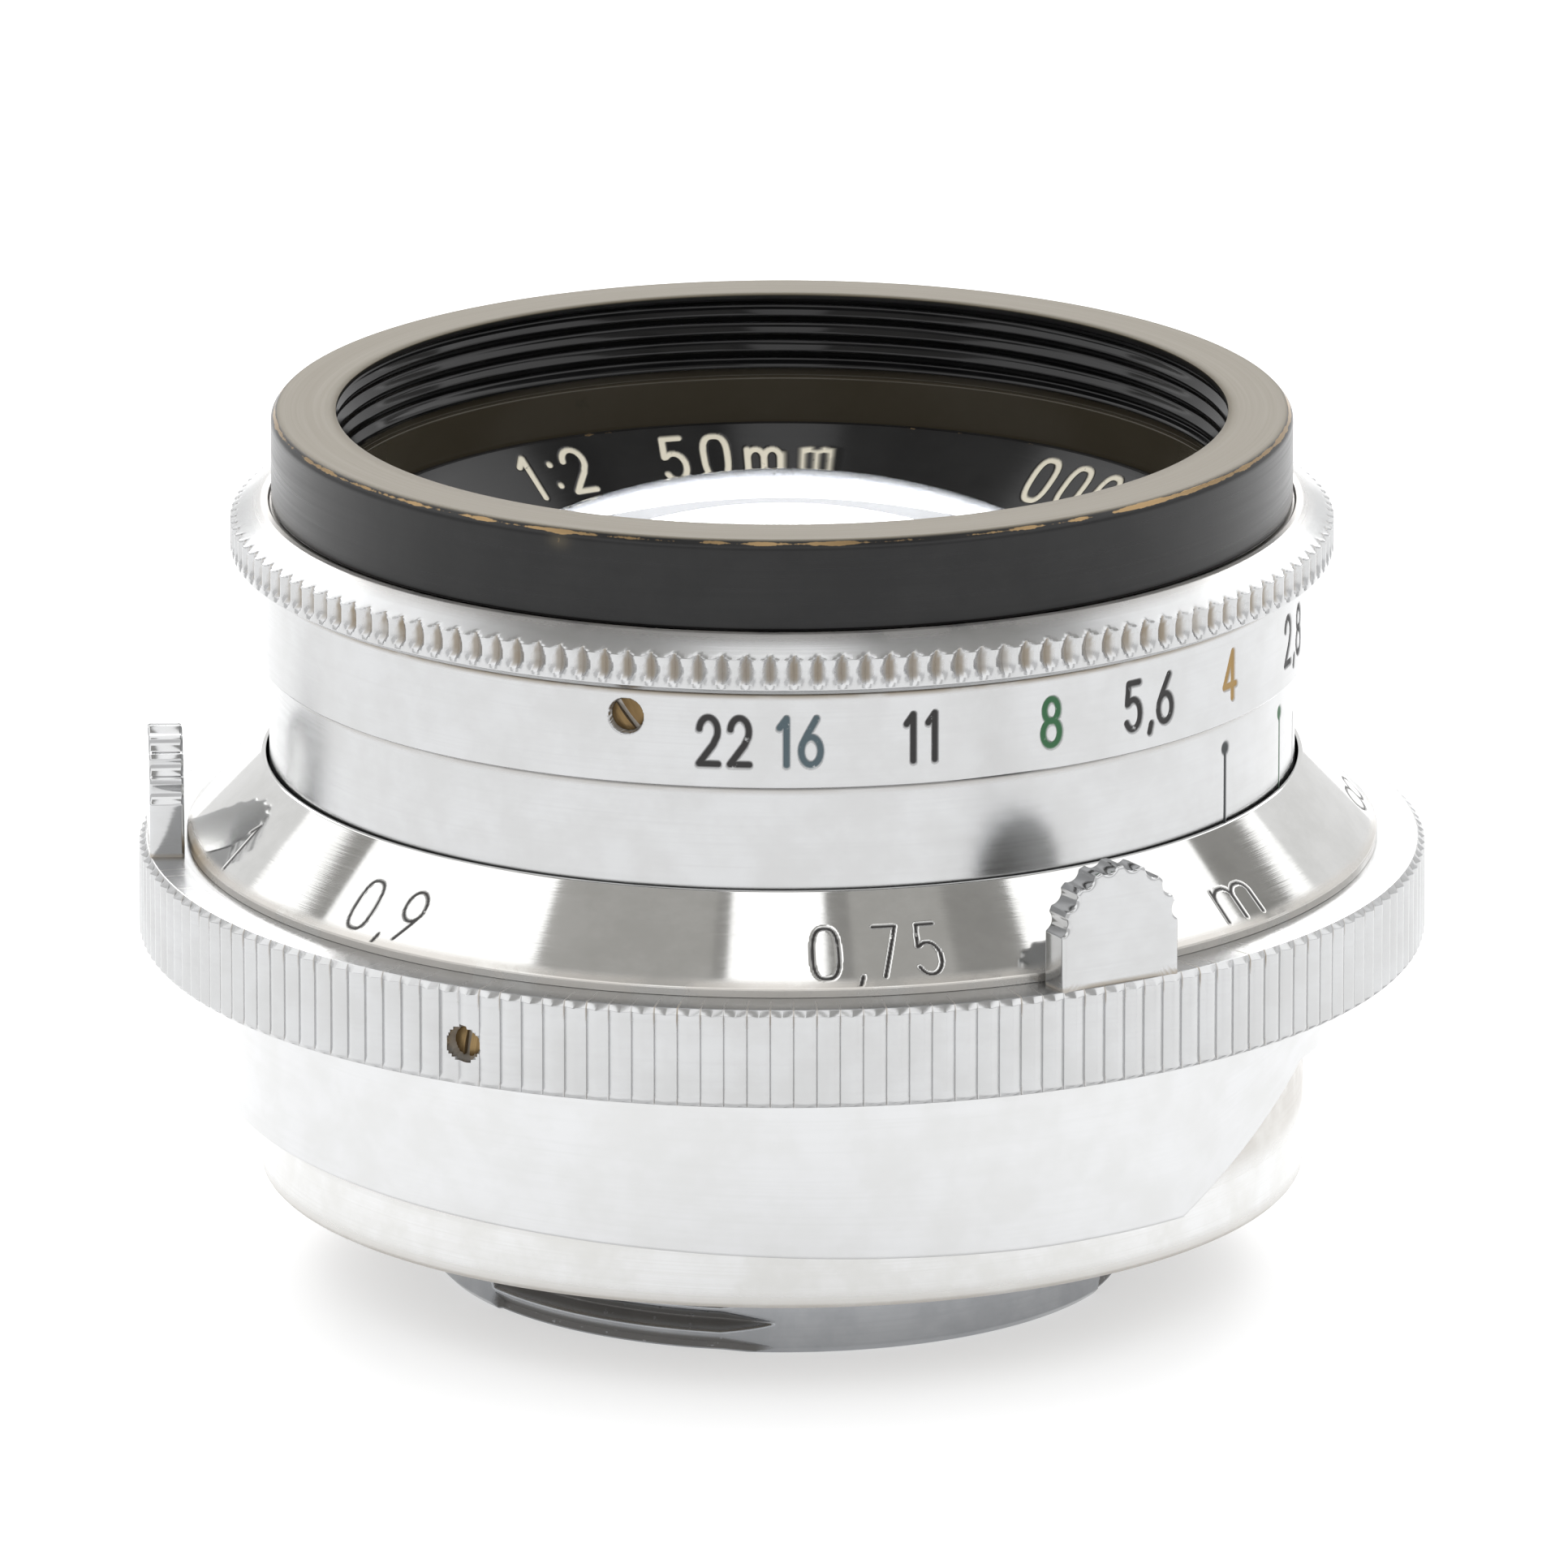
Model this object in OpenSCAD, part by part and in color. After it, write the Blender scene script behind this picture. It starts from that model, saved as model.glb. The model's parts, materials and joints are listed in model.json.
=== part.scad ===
// Prime lens, 50 mm f/2, standing on its rear mount with the front up.
// Frame: the optical axis is Z, z = 0 is the rear end of the mount, and azimuth 0 is the -Y side.
// Rest state: focused at infinity, iris wide open.

/* [Rear mount] */
// Radius of the mount collar over its interrupted thread
collar_r = 14.19; // [14.1:0.01:14.3]
// Height of the collar, from the rear end to the flange seat
collar_h = 4.05; // [4.0:0.01:4.1]
// Bore through the mount
throat_r = 12.5; // [12.3:0.1:12.55]
// Pitch of the interrupted thread
mount_pitch = 1.0; // [0.8:0.1:1.05]
// Arc covered by each of the three threaded stretches, in degrees
mount_thread_arc = 54; // [40:1:70]
// Radius of the fixed rear barrel
barrel_r = 21.12; // [21.0:0.02:21.2]

/* [Focusing ring] */
// Radius over the knurl
knurl_r = 26; // [25.8:0.1:26.6]
// Lower edge of the knurled ring
knurl_z0 = 13.8; // [13.75:0.01:13.85]
// Upper edge of the knurled ring
knurl_z1 = 17.8; // [17.78:0.01:17.85]
// Width of a thumb tab
tab_w = 5.3; // [4.5:0.1:6]
// Thickness of a thumb tab
tab_t = 1.4; // [1.2:0.1:1.4]
// Straight height of a thumb tab below its round top
tab_straight = 1.95; // [1.5:0.05:2.2]
// Turn of the focusing ring from infinity to its near limit, in degrees
focus_travel = 277; // [180:1:300]
// Lower edge of the cam sleeve
sleeve_z0 = 6.36; // [6.3:0.02:6.5]
// Height of the relief cut from the cam sleeve's lower edge
sleeve_relief = 4.5; // [3:0.1:4.6]
// Tilt of the cam sleeve's lower edge, in degrees
cam_tilt = 2.2; // [0:0.1:2.4]

/* [Distance and depth scales] */
// Radius of the distance cone at its foot
cone_r0 = 24.05; // [23.9:0.05:24.15]
// Radius of the distance cone at its lip
cone_r1 = 20.98; // [20.95:0.01:21.2]
// Height of the cone's lip above the rear end
cone_z1 = 21.3; // [21.1:0.05:21.4]
// Radius of the depth-of-field ring
depth_r = 20.7; // [20.6:0.01:20.72]

/* [Aperture ring] */
// Radius of the numbered band
band_r = 21.21; // [21.1:0.01:21.4]
// Radius over the knurl
aperture_knurl_r = 22.23; // [22.1:0.01:22.4]
// Turn from f/2 to f/22, in degrees
aperture_travel = 99; // [80:1:100]

/* [Front] */
// Outside radius of the front rim
rim_r = 20.57; // [20.4:0.01:20.7]
// Minor radius of the filter thread
filter_r = 17.87; // [17.86:0.01:17.95]
// Height of the front rim above the rear end
rim_z1 = 35.5; // [35:0.1:36]
// Radius of curvature of the front glass
dome_R = 25.4; // [25.2:0.1:25.8]

/* [Iris] */
// Number of blades
blade_count = 8; // [8:1:8]
// Thickness of a blade
blade_t = 0.08; // [0.05:0.01:0.09]
// Turn of each blade from open to closed, in degrees
blade_swing = 34; // [30:1:34]

/* [Hidden] */
// height at which the filter thread ends in a relief groove, with a plain bore behind it
thread_z0 = rim_z1 - 3.15;
$fn = 96;
// radial clearance of turning and sliding fits, and gap between faces that only stand apart
run = 0.05;
gap = 0.1;

// rear barrel and what it holds
seat_bore = 19.4;
journal_bore = 18.45;
barrel_z1 = 14.3;
plate_z1 = 5.35;
carrier_z0 = plate_z1 + gap;
carrier_z1 = 6.85;
carrier_bore = 12.6;
seat_r = seat_bore - 0.02;
mount_screw_pcr = 16.3;
mount_thread_depth = 0.5;
mount_thread_start = -55.5;

// guide keys
key_w = 3;
key_r0 = 15;
key_r1 = 16.6;
key_z1 = 14.4;
key_screw_r = 0.5;
key_screw_pcr = 15.8;

// focusing unit
helicoid_bore = 16.85;
helicoid_r = journal_bore - run;
helicoid_z1 = 20.6;
helicoid_foot_z1 = 7.8;
journal_z0 = 7.9;
web_z0 = 14.65;
web_z1 = 17;
sleeve_r0 = 21.3;
sleeve_r1 = 22.8;
spigot_r = 22.3;
set_screw_r = 0.65;
focus_screw_az = -29.1;
focus_screw_z = 15.5;
tab_azimuths = [-87, 31.5];
tab_face_r = 25.62;
tab_foot = 1.2;
stop_r = 0.6;
stop_z = 10.5;
stop_az = 180;
stop_tip_r = 17.7;
stop_slot_margin = asin(stop_r / stop_tip_r) + 0.16;

// head barrel
head_r = helicoid_bore - run;
head_bore = 12.2;
head_z0 = 7.2;
chamber_r = 15.6;
chamber_z0 = 15.2;
shoulder_z0 = 20.9;
shoulder_z1 = 25;
shoulder_r = 19.12;
journal_r = 18.25;
skirt_z0 = 27.1;
skirt_r = 17.6;
cell_seat_r = 17;
head_z1 = 29.3;

// aperture ring and drive
ring_z0 = 25.55;
ring_z1 = 31.7;
band_z1 = 29.4;
sleeve_mid_r = 19.9;
aperture_screw_az = -16.9;
aperture_screw_z = 28.3;
drive_pin_r = 0.45;
drive_pin_z = 26.2;
drive_pin_az = 100;
drive_slot_margin = 2.3;
cam_wall_r0 = 15;
cam_wall_r1 = chamber_r - run;
cam_z0 = 17.1;
cam_z1 = 17.7;

// iris
iris_base_z0 = 15.25;
iris_base_z1 = 15.8;
iris_clear_r = 9;
pivot_r = 13.3;
pivot_stud_r = 0.3;
drive_stud_r = 0.22;
crank = 3;
crank_start = -107;
blade_r0 = 8.6;
blade_r1 = 12.1;
blade_arc = 110;
blade_step = 0.12;
blade_z0 = 15.95;
slot_half = drive_stud_r + 0.06;
slot_steps = 24;

// glass: vertex heights and curvature radii
front_vertex = 32.05;
front_semi = 14.4;
doublet_semi = 11.6;
rear_semi = 10.2;

// ---- shared shapes ----

// carries its children to an azimuth, with local +X pointing outwards
module at_azimuth(az) {
    rotate([0, 0, az - 90]) children();
}

// plain tube between two radii and two heights
module tube(r0, r1, z0, z1) {
    rotate_extrude() translate([r0, z0]) square([r1 - r0, z1 - z0]);
}

// ring turned from an outline of [radius, height] points
module turned(outline) {
    rotate_extrude() polygon(outline);
}

// part of a tube, from one azimuth through an arc
module arc_band(r0, r1, z0, z1, az, arc) {
    at_azimuth(az) rotate_extrude(angle = arc) translate([r0, z0]) square([r1 - r0, z1 - z0]);
}

// round bar along a radius
module radial_bar(r, r0, r1, z) {
    translate([r0, 0, z]) rotate([0, 90, 0]) cylinder(r = r, h = r1 - r0);
}

// round bar along Z
module post(r, z0, z1) {
    translate([0, 0, z0]) cylinder(r = r, h = z1 - z0);
}

module ball(R, z) {
    translate([0, 0, z]) sphere(r = R, $fn = 360);
}

// headless screw along a radius, slotted at its outer end
module set_screw(r, r0, r1, z) {
    difference() {
        radial_bar(r, r0, r1, z);
        translate([r1 - 0.35, -0.14, z - r - 0.1]) cube([0.5, 0.28, 2 * r + 0.2]);
    }
}

// flat-headed screw pointing up, its slotted head at the lower end
module flat_screw(r, head_r, z0, z_head, z1) {
    difference() {
        union() {
            post(r, z0, z1);
            post(head_r, z0, z_head);
        }
        translate([-head_r - 0.1, -0.15, z0 - 0.1]) cube([2 * head_r + 0.2, 0.3, 0.4]);
    }
}

// ---- rear mount and fixed barrel ----

// one V groove of the interrupted thread
module mount_groove(z, az) {
    half = mount_pitch * 0.42;
    at_azimuth(az) rotate_extrude(angle = mount_thread_arc)
        polygon([[collar_r + 0.1, z - half], [collar_r + 0.1, z + half], [collar_r - mount_thread_depth, z]]);
}

module mount_ring() {
    color("gainsboro") difference() {
        turned([[throat_r, 0], [collar_r - 0.3, 0], [collar_r, 0.3], [collar_r, collar_h],
            [seat_r, collar_h], [seat_r, plate_z1], [throat_r, plate_z1]]);
        for (lobe = [0:2], turn = [0:1])
            mount_groove(1.35 + turn * mount_pitch, mount_thread_start + lobe * 120);
        for (i = [0:3]) at_azimuth(45 + i * 90) translate([mount_screw_pcr, 0, 0]) {
            post(1.32, collar_h - 1, collar_h + 0.75);
            post(0.75, collar_h - 1, plate_z1 + 1);
        }
    }
}

module mount_screws() {
    color("silver") for (i = [0:3]) at_azimuth(45 + i * 90) translate([mount_screw_pcr, 0, 0])
        flat_screw(0.7, 1.3, collar_h + 0.05, collar_h + 0.72, 6.6);
}

module key_carrier() {
    color("dimgray") difference() {
        tube(carrier_bore, seat_r, carrier_z0, carrier_z1);
        for (i = [0:3]) at_azimuth(45 + i * 90) translate([mount_screw_pcr, 0, 0]) post(0.71, 5, 7);
        for (az = [0, 180]) at_azimuth(az) translate([key_screw_pcr, 0, 0]) {
            post(1.02, 5, 6.05);
            post(key_screw_r + 0.02, 5, 7);
        }
    }
}

module guide_keys() {
    color("silver") for (az = [0, 180]) at_azimuth(az) difference() {
        translate([key_r0, -key_w / 2, carrier_z1]) cube([key_r1 - key_r0, key_w, key_z1 - carrier_z1]);
        translate([key_screw_pcr, 0, 0]) post(key_screw_r + 0.02, 6, 9.5);
    }
}

module key_screws() {
    color("silver") for (az = [0, 180]) at_azimuth(az) translate([key_screw_pcr, 0, 0])
        flat_screw(key_screw_r, 1, 5.5, 6, 9.3);
}

module rear_barrel() {
    color("gainsboro") difference() {
        turned([[seat_bore, collar_h], [barrel_r - 0.15, collar_h], [barrel_r, collar_h + 0.15],
            [barrel_r, barrel_z1], [journal_bore, barrel_z1], [journal_bore, journal_z0], [seat_bore, journal_z0]]);
        at_azimuth(stop_az) radial_bar(stop_r + 0.01, 18, 22, stop_z);
    }
}

// the screw whose tip runs in the helicoid's slot and ends the focusing travel
module focus_stop_screw() {
    color("silver") at_azimuth(stop_az) set_screw(stop_r, stop_tip_r, barrel_r - 0.05, stop_z);
}

// ---- focusing unit ----

module tab_pocket(az) {
    at_azimuth(az) translate([tab_face_r - tab_t - 0.02, -tab_w / 2 - 0.02, knurl_z1 - tab_foot - 0.02])
        cube([tab_t + 0.04, tab_w + 0.04, 3]);
}

module focus_ring() {
    color("lightgray") difference() {
        turned([[spigot_r + 0.02, knurl_z0], [knurl_r - 0.2, knurl_z0], [knurl_r, knurl_z0 + 0.2],
            [knurl_r, knurl_z1 - 0.2], [knurl_r - 0.2, knurl_z1], [22.62, knurl_z1], [22.62, 17.2],
            [20.9, 17.2], [20.9, web_z1], [helicoid_r + 0.03, web_z1], [helicoid_r + 0.03, web_z0],
            [spigot_r + 0.02, web_z0]]);
        for (i = [0:2]) at_azimuth(focus_screw_az + 120 * i)
            radial_bar(set_screw_r + 0.02, 17, 27, focus_screw_z);
        for (az = tab_azimuths) tab_pocket(az);
    }
}

module focus_set_screws() {
    color("peru") for (i = [0:2]) at_azimuth(focus_screw_az + 120 * i)
        set_screw(set_screw_r, helicoid_r + 0.05, knurl_r - 0.35, focus_screw_z);
}

module distance_ring() {
    color("whitesmoke") turned([[cone_r1 - 0.14, 17.25], [22.58, 17.25], [22.58, knurl_z1],
        [cone_r0, knurl_z1], [cone_r0, knurl_z1 + 0.35], [cone_r1, cone_z1], [cone_r1 - 0.14, cone_z1]]);
}

// a thumb tab: flat plate in the ring's edge with a round top scalloped by small flutes
module focus_tab(az) {
    top_z = knurl_z1 + tab_straight;
    flutes = 8;
    color("gainsboro") at_azimuth(az) translate([tab_face_r - tab_t, 0, 0]) difference() {
        union() {
            translate([0, -tab_w / 2, knurl_z1 - tab_foot]) cube([tab_t, tab_w, top_z - knurl_z1 + tab_foot]);
            translate([0, 0, top_z]) rotate([0, 90, 0]) cylinder(r = tab_w / 2, h = tab_t);
        }
        for (i = [0:flutes - 1]) translate([-0.1, 0, top_z]) rotate([(i + 0.5) * 180 / flutes, 0, 0])
            translate([0, tab_w / 2 + 0.33, 0]) rotate([0, 90, 0]) cylinder(r = 0.5, h = tab_t + 0.2, $fn = 32);
    }
}

module focus_tab_left() {
    focus_tab(tab_azimuths[0]);
}

module focus_tab_right() {
    focus_tab(tab_azimuths[1]);
}

// cut that slants the sleeve's lower edge at one end of its relief, with a level stretch after the slope
module relief_ramp(az, side) {
    half = sleeve_r1 * sin(10.6);
    run_in = half + 2 * half / sleeve_relief;
    level = half + 1.5;
    at_azimuth(az) translate([18, 0, 0]) rotate([90, 0, 90]) linear_extrude(6)
        polygon([[-side * run_in, sleeve_z0 - 1], [side * half, sleeve_z0 + sleeve_relief],
            [side * level, sleeve_z0 + sleeve_relief], [side * level, sleeve_z0 - 1]]);
}

module cam_sleeve() {
    color("gainsboro") difference() {
        turned([[sleeve_r0, sleeve_z0], [sleeve_r1, sleeve_z0], [sleeve_r1, knurl_z0 - 0.05],
            [spigot_r, knurl_z0 - 0.05], [spigot_r, web_z0 - 0.05], [sleeve_r0, web_z0 - 0.05]]);
        relief_ramp(55.3, 1);
        // the edge leans down towards the ramp, by about the focusing lead across the front, and ends level
        at_azimuth(66) translate([0, 0, sleeve_z0 + 0.67]) rotate([0, cam_tilt, 0]) translate([-30, -30, -6])
            cube([60, 60, 6]);
        // a hair deeper than the ramps' level ends, so that no two cut faces coincide
        arc_band(20, 24, 6, sleeve_z0 + sleeve_relief + 0.01, 68, 120);
        relief_ramp(200.2, -1);
    }
}

module focus_helicoid() {
    color("darkkhaki") difference() {
        turned([[helicoid_bore, 6.95], [seat_bore - run, 6.95], [seat_bore - run, helicoid_foot_z1],
            [helicoid_r, helicoid_foot_z1], [helicoid_r, helicoid_z1], [helicoid_bore, helicoid_z1]]);
        arc_band(stop_tip_r - 0.1, 19, stop_z - stop_r - 0.1, stop_z + stop_r + 0.1,
            stop_az - stop_slot_margin, focus_travel + 2 * stop_slot_margin);
    }
}

// ---- lens head ----

module head_barrel() {
    color("dimgray") difference() {
        turned([[head_bore, head_z0], [head_r, head_z0], [head_r, shoulder_z0], [shoulder_r, shoulder_z0],
            [shoulder_r, shoulder_z1], [journal_r, shoulder_z1], [journal_r, skirt_z0 - 0.05],
            [skirt_r, skirt_z0 - 0.05], [skirt_r, head_z1], [cell_seat_r, head_z1], [cell_seat_r, skirt_z0],
            [chamber_r, skirt_z0], [chamber_r, chamber_z0], [head_bore, chamber_z0]]);
        for (az = [0, 180]) at_azimuth(az) translate([key_r0 - 0.1, -key_w / 2 - run, head_z0 - 1])
            cube([3, key_w + 2 * run, 15.8 - head_z0]);
        for (i = [0:2]) at_azimuth(90 + 120 * i) translate([14.7, 0, 0]) post(0.36, 13.7, 16);
        arc_band(15, 19, drive_pin_z - drive_pin_r - 0.1, drive_pin_z + drive_pin_r + 0.1,
            drive_pin_az - drive_slot_margin, aperture_travel + 2 * drive_slot_margin);
    }
}

module depth_scale_ring() {
    color("whitesmoke") tube(shoulder_r + 0.03, depth_r, 17.2, 25.45);
}

module front_rim() {
    color([0.09, 0.09, 0.1]) turned([[skirt_r + 0.02, skirt_z0], [journal_r, skirt_z0], [journal_r, 31.82],
        [rim_r, 31.82], [rim_r, rim_z1 - 0.35], [rim_r - 0.3, rim_z1], [filter_r + 0.25, rim_z1],
        [filter_r, rim_z1 - 0.25], [filter_r, thread_z0], [filter_r + 0.36, thread_z0],
        [filter_r + 0.36, thread_z0 - 0.4], [filter_r + 0.15, thread_z0 - 0.4], [filter_r + 0.05, 29.35],
        [skirt_r + 0.02, 29.35]]);
}

module name_ring() {
    color([0.06, 0.06, 0.07]) difference() {
        turned([[14.75, 27.75], [16.95, 27.75], [16.95, 29.35], [17.82, 29.35], [17.82, 30.15],
            [17.6, 30.15], [14.75, 27.85]]);
        for (az = [33, 213]) at_azimuth(az) translate([17, -0.5, 29.85]) cube([1, 1, 1]);
    }
}

module front_cell() {
    color("dimgray") turned([[8.3, 18], [14.85, 18], [14.85, 27.15], [16.95, 27.15], [16.95, 27.7],
        [front_semi + 0.05, 27.7], [front_semi + 0.05, 24.4], [doublet_semi + 0.05, 24.4],
        [doublet_semi + 0.05, 18.45], [8.3, 18.45]]);
}

module front_element() {
    color([0.75, 0.8, 0.9]) difference() {
        intersection() {
            post(front_semi, 25.9, 33);
            ball(dome_R, front_vertex - dome_R);
        }
        ball(62, 27.7 - 62);
    }
}

module front_spacer() {
    color("dimgray") turned([[11.35, 23.5], [11.6, 23.5], [11.6, 24.45], [14.4, 24.45], [14.4, 25.95],
        [13.6, 25.95], [13.6, 25.2], [11.35, 25.2]]);
}

module front_doublet_positive() {
    color([0.75, 0.8, 0.9]) intersection() {
        post(doublet_semi, 22.7, 28);
        ball(18.5, 27.3 - 18.5);
    }
}

module front_doublet_negative() {
    color([0.7, 0.78, 0.85]) difference() {
        post(doublet_semi, 18.5, 22.7);
        ball(12.5, 21.4 - 12.5);
    }
}

module rear_cell() {
    color("dimgray") turned([[10.25, 2.5], [11.6, 2.5], [11.6, 8], [12.15, 8], [12.15, 15.15],
        [7.9, 15.15], [7.9, 14.6], [10.25, 14.6]]);
}

module rear_doublet_negative() {
    color([0.7, 0.78, 0.85]) difference() {
        post(rear_semi, 11.2, 14.55);
        ball(12.5, 11.9 + 12.5);
    }
}

module rear_doublet_positive() {
    color([0.75, 0.8, 0.9]) intersection() {
        post(rear_semi, 6, 11.2);
        ball(19, 6.9 + 19);
    }
}

module rear_spacer() {
    color("dimgray") tube(9.6, 10.2, 5.45, 9.4);
}

module rear_element() {
    color([0.75, 0.8, 0.9]) intersection() {
        post(rear_semi, 2, 7);
        ball(40, 6.5 - 40);
        ball(45, 3 + 45);
    }
}

module rear_retaining_ring() {
    color("dimgray") difference() {
        tube(8.9, 10.2, 2.7, 3.8);
        for (az = [90, 270]) at_azimuth(az) translate([8, -0.5, 2]) cube([3, 1, 1.1]);
    }
}

// ---- aperture ring and iris ----

module aperture_ring() {
    color("gainsboro") difference() {
        turned([[sleeve_mid_r + 0.02, ring_z0], [band_r, ring_z0], [band_r, band_z1], [21, band_z1],
            [21, 29.6], [aperture_knurl_r, 29.6], [aperture_knurl_r, 31.15], [20.7, ring_z1],
            [sleeve_mid_r + 0.02, ring_z1]]);
        for (i = [0:2]) at_azimuth(aperture_screw_az + 120 * i)
            radial_bar(set_screw_r + 0.02, 19.5, 23, aperture_screw_z);
    }
}

module aperture_sleeve() {
    color("darkkhaki") difference() {
        tube(journal_r + run, sleeve_mid_r, ring_z0, ring_z1);
        for (i = [0:2]) at_azimuth(aperture_screw_az + 120 * i)
            radial_bar(set_screw_r + 0.02, 19.2, 21, aperture_screw_z);
        at_azimuth(drive_pin_az) radial_bar(drive_pin_r + 0.01, 17, 19.75, drive_pin_z);
    }
}

module aperture_set_screws() {
    color("peru") for (i = [0:2]) at_azimuth(aperture_screw_az + 120 * i)
        set_screw(set_screw_r, 19.25, band_r - 0.12, aperture_screw_z);
}

module aperture_drive_pin() {
    color("silver") at_azimuth(drive_pin_az) radial_bar(drive_pin_r, cam_wall_r0 + 0.02, 19.7, drive_pin_z);
}

// where a blade's crank stud stands, seen from the turning cam ring, after a turn of the ring
function stud_place(turn) =
    let (swing = turn * blade_swing / aperture_travel,
        x = pivot_r + crank * cos(crank_start + swing),
        y = crank * sin(crank_start + swing))
    [x * cos(turn) + y * sin(turn), y * cos(turn) - x * sin(turn)];

function slot_side(turn, side) =
    let (here = stud_place(turn),
        step = stud_place(turn + 0.5) - stud_place(turn - 0.5),
        along = step / norm(step))
    [here[0] - side * slot_half * along[1], here[1] + side * slot_half * along[0]];

// curved slot that leads one stud, with a round at each end
module cam_slot() {
    turns = [for (i = [0:slot_steps]) i * aperture_travel / slot_steps];
    left = [for (turn = turns) slot_side(turn, 1)];
    right = [for (i = [slot_steps:-1:0]) slot_side(turns[i], -1)];
    translate([0, 0, cam_z0 - 1]) linear_extrude(cam_z1 - cam_z0 + 2) polygon(concat(left, right));
    for (turn = [0, aperture_travel]) translate(concat(stud_place(turn), [0]))
        post(slot_half, cam_z0 - 1, cam_z1 + 1);
}

module iris_cam_ring() {
    color("dimgray") difference() {
        union() {
            tube(iris_clear_r, cam_wall_r1, cam_z0, cam_z1);
            tube(cam_wall_r0, cam_wall_r1, cam_z0, 26.95);
        }
        for (i = [0:blade_count - 1]) rotate([0, 0, i * 360 / blade_count]) cam_slot();
        at_azimuth(drive_pin_az) radial_bar(drive_pin_r + 0.01, 14, 17, drive_pin_z);
    }
}

module iris_base_ring() {
    color("dimgray") difference() {
        tube(iris_clear_r, cam_wall_r1, iris_base_z0, iris_base_z1);
        for (i = [0:blade_count - 1]) rotate([0, 0, i * 360 / blade_count]) translate([pivot_r, 0, 0])
            post(pivot_stud_r + run, 15, 16);
        for (i = [0:2]) at_azimuth(90 + 120 * i) translate([14.7, 0, 0]) {
            post(0.36, 15, 16);
            post(0.62, 15.45, 16);
        }
    }
}

module iris_base_screws() {
    color("silver") for (i = [0:2]) at_azimuth(90 + 120 * i) translate([14.7, 0, 0]) {
        post(0.34, 13.8, 15.5);
        post(0.6, 15.48, iris_base_z1);
    }
}

// one blade: an arc, a neck out to its pivot, and a crank whose stud runs in the cam ring
module iris_blade(index) {
    z = blade_z0 + index * blade_step;
    color([0.25, 0.25, 0.27]) rotate([0, 0, index * 360 / blade_count]) {
        rotate([0, 0, -3]) rotate_extrude(angle = blade_arc) translate([blade_r0, z])
            square([blade_r1 - blade_r0, blade_t]);
        translate([11.5, -0.75, z]) cube([pivot_r - 11.5, 1.5, blade_t]);
        translate([pivot_r, 0, 0]) {
            post(0.75, z, z + blade_t);
            post(pivot_stud_r, iris_base_z0 + 0.05, z + blade_t);
            rotate([0, 0, crank_start]) {
                translate([0, -0.38, z]) cube([crank, 0.76, blade_t]);
                translate([crank, 0, 0]) {
                    post(0.38, z, z + blade_t);
                    post(drive_stud_r, z, cam_z1 - 0.1);
                }
            }
        }
    }
}

module iris_blade_1() iris_blade(0);
module iris_blade_2() iris_blade(1);
module iris_blade_3() iris_blade(2);
module iris_blade_4() iris_blade(3);
module iris_blade_5() iris_blade(4);
module iris_blade_6() iris_blade(5);
module iris_blade_7() iris_blade(6);
module iris_blade_8() iris_blade(7);

mount_ring();
mount_screws();
key_carrier();
guide_keys();
key_screws();
rear_barrel();
focus_stop_screw();
focus_ring();
distance_ring();
focus_tab_left();
focus_tab_right();
cam_sleeve();
focus_set_screws();
focus_helicoid();
head_barrel();
depth_scale_ring();
front_rim();
name_ring();
front_cell();
front_element();
front_spacer();
front_doublet_positive();
front_doublet_negative();
rear_cell();
rear_doublet_negative();
rear_doublet_positive();
rear_spacer();
rear_element();
rear_retaining_ring();
iris_base_ring();
iris_base_screws();
aperture_ring();
aperture_sleeve();
aperture_set_screws();
aperture_drive_pin();
iris_cam_ring();
iris_blade_1();
iris_blade_2();
iris_blade_3();
iris_blade_4();
iris_blade_5();
iris_blade_6();
iris_blade_7();
iris_blade_8();
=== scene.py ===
import json
import math
import bmesh
import bpy
import numpy as np
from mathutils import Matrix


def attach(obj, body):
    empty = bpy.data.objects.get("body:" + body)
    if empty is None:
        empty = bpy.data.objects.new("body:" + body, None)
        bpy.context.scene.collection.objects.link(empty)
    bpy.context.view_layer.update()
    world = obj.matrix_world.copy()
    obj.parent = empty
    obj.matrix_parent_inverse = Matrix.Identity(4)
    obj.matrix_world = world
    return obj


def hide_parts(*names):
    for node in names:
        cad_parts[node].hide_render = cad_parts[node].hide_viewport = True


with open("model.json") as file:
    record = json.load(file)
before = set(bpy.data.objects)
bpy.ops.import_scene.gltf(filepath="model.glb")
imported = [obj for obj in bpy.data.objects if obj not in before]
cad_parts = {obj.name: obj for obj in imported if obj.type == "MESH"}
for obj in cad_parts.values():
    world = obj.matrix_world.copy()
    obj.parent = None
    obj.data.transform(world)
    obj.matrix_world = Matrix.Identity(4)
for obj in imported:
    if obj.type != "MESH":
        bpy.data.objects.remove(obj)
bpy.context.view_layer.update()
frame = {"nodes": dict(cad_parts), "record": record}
mm = 0.001
nodes = frame["nodes"]
print("stage: frame loaded")


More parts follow.
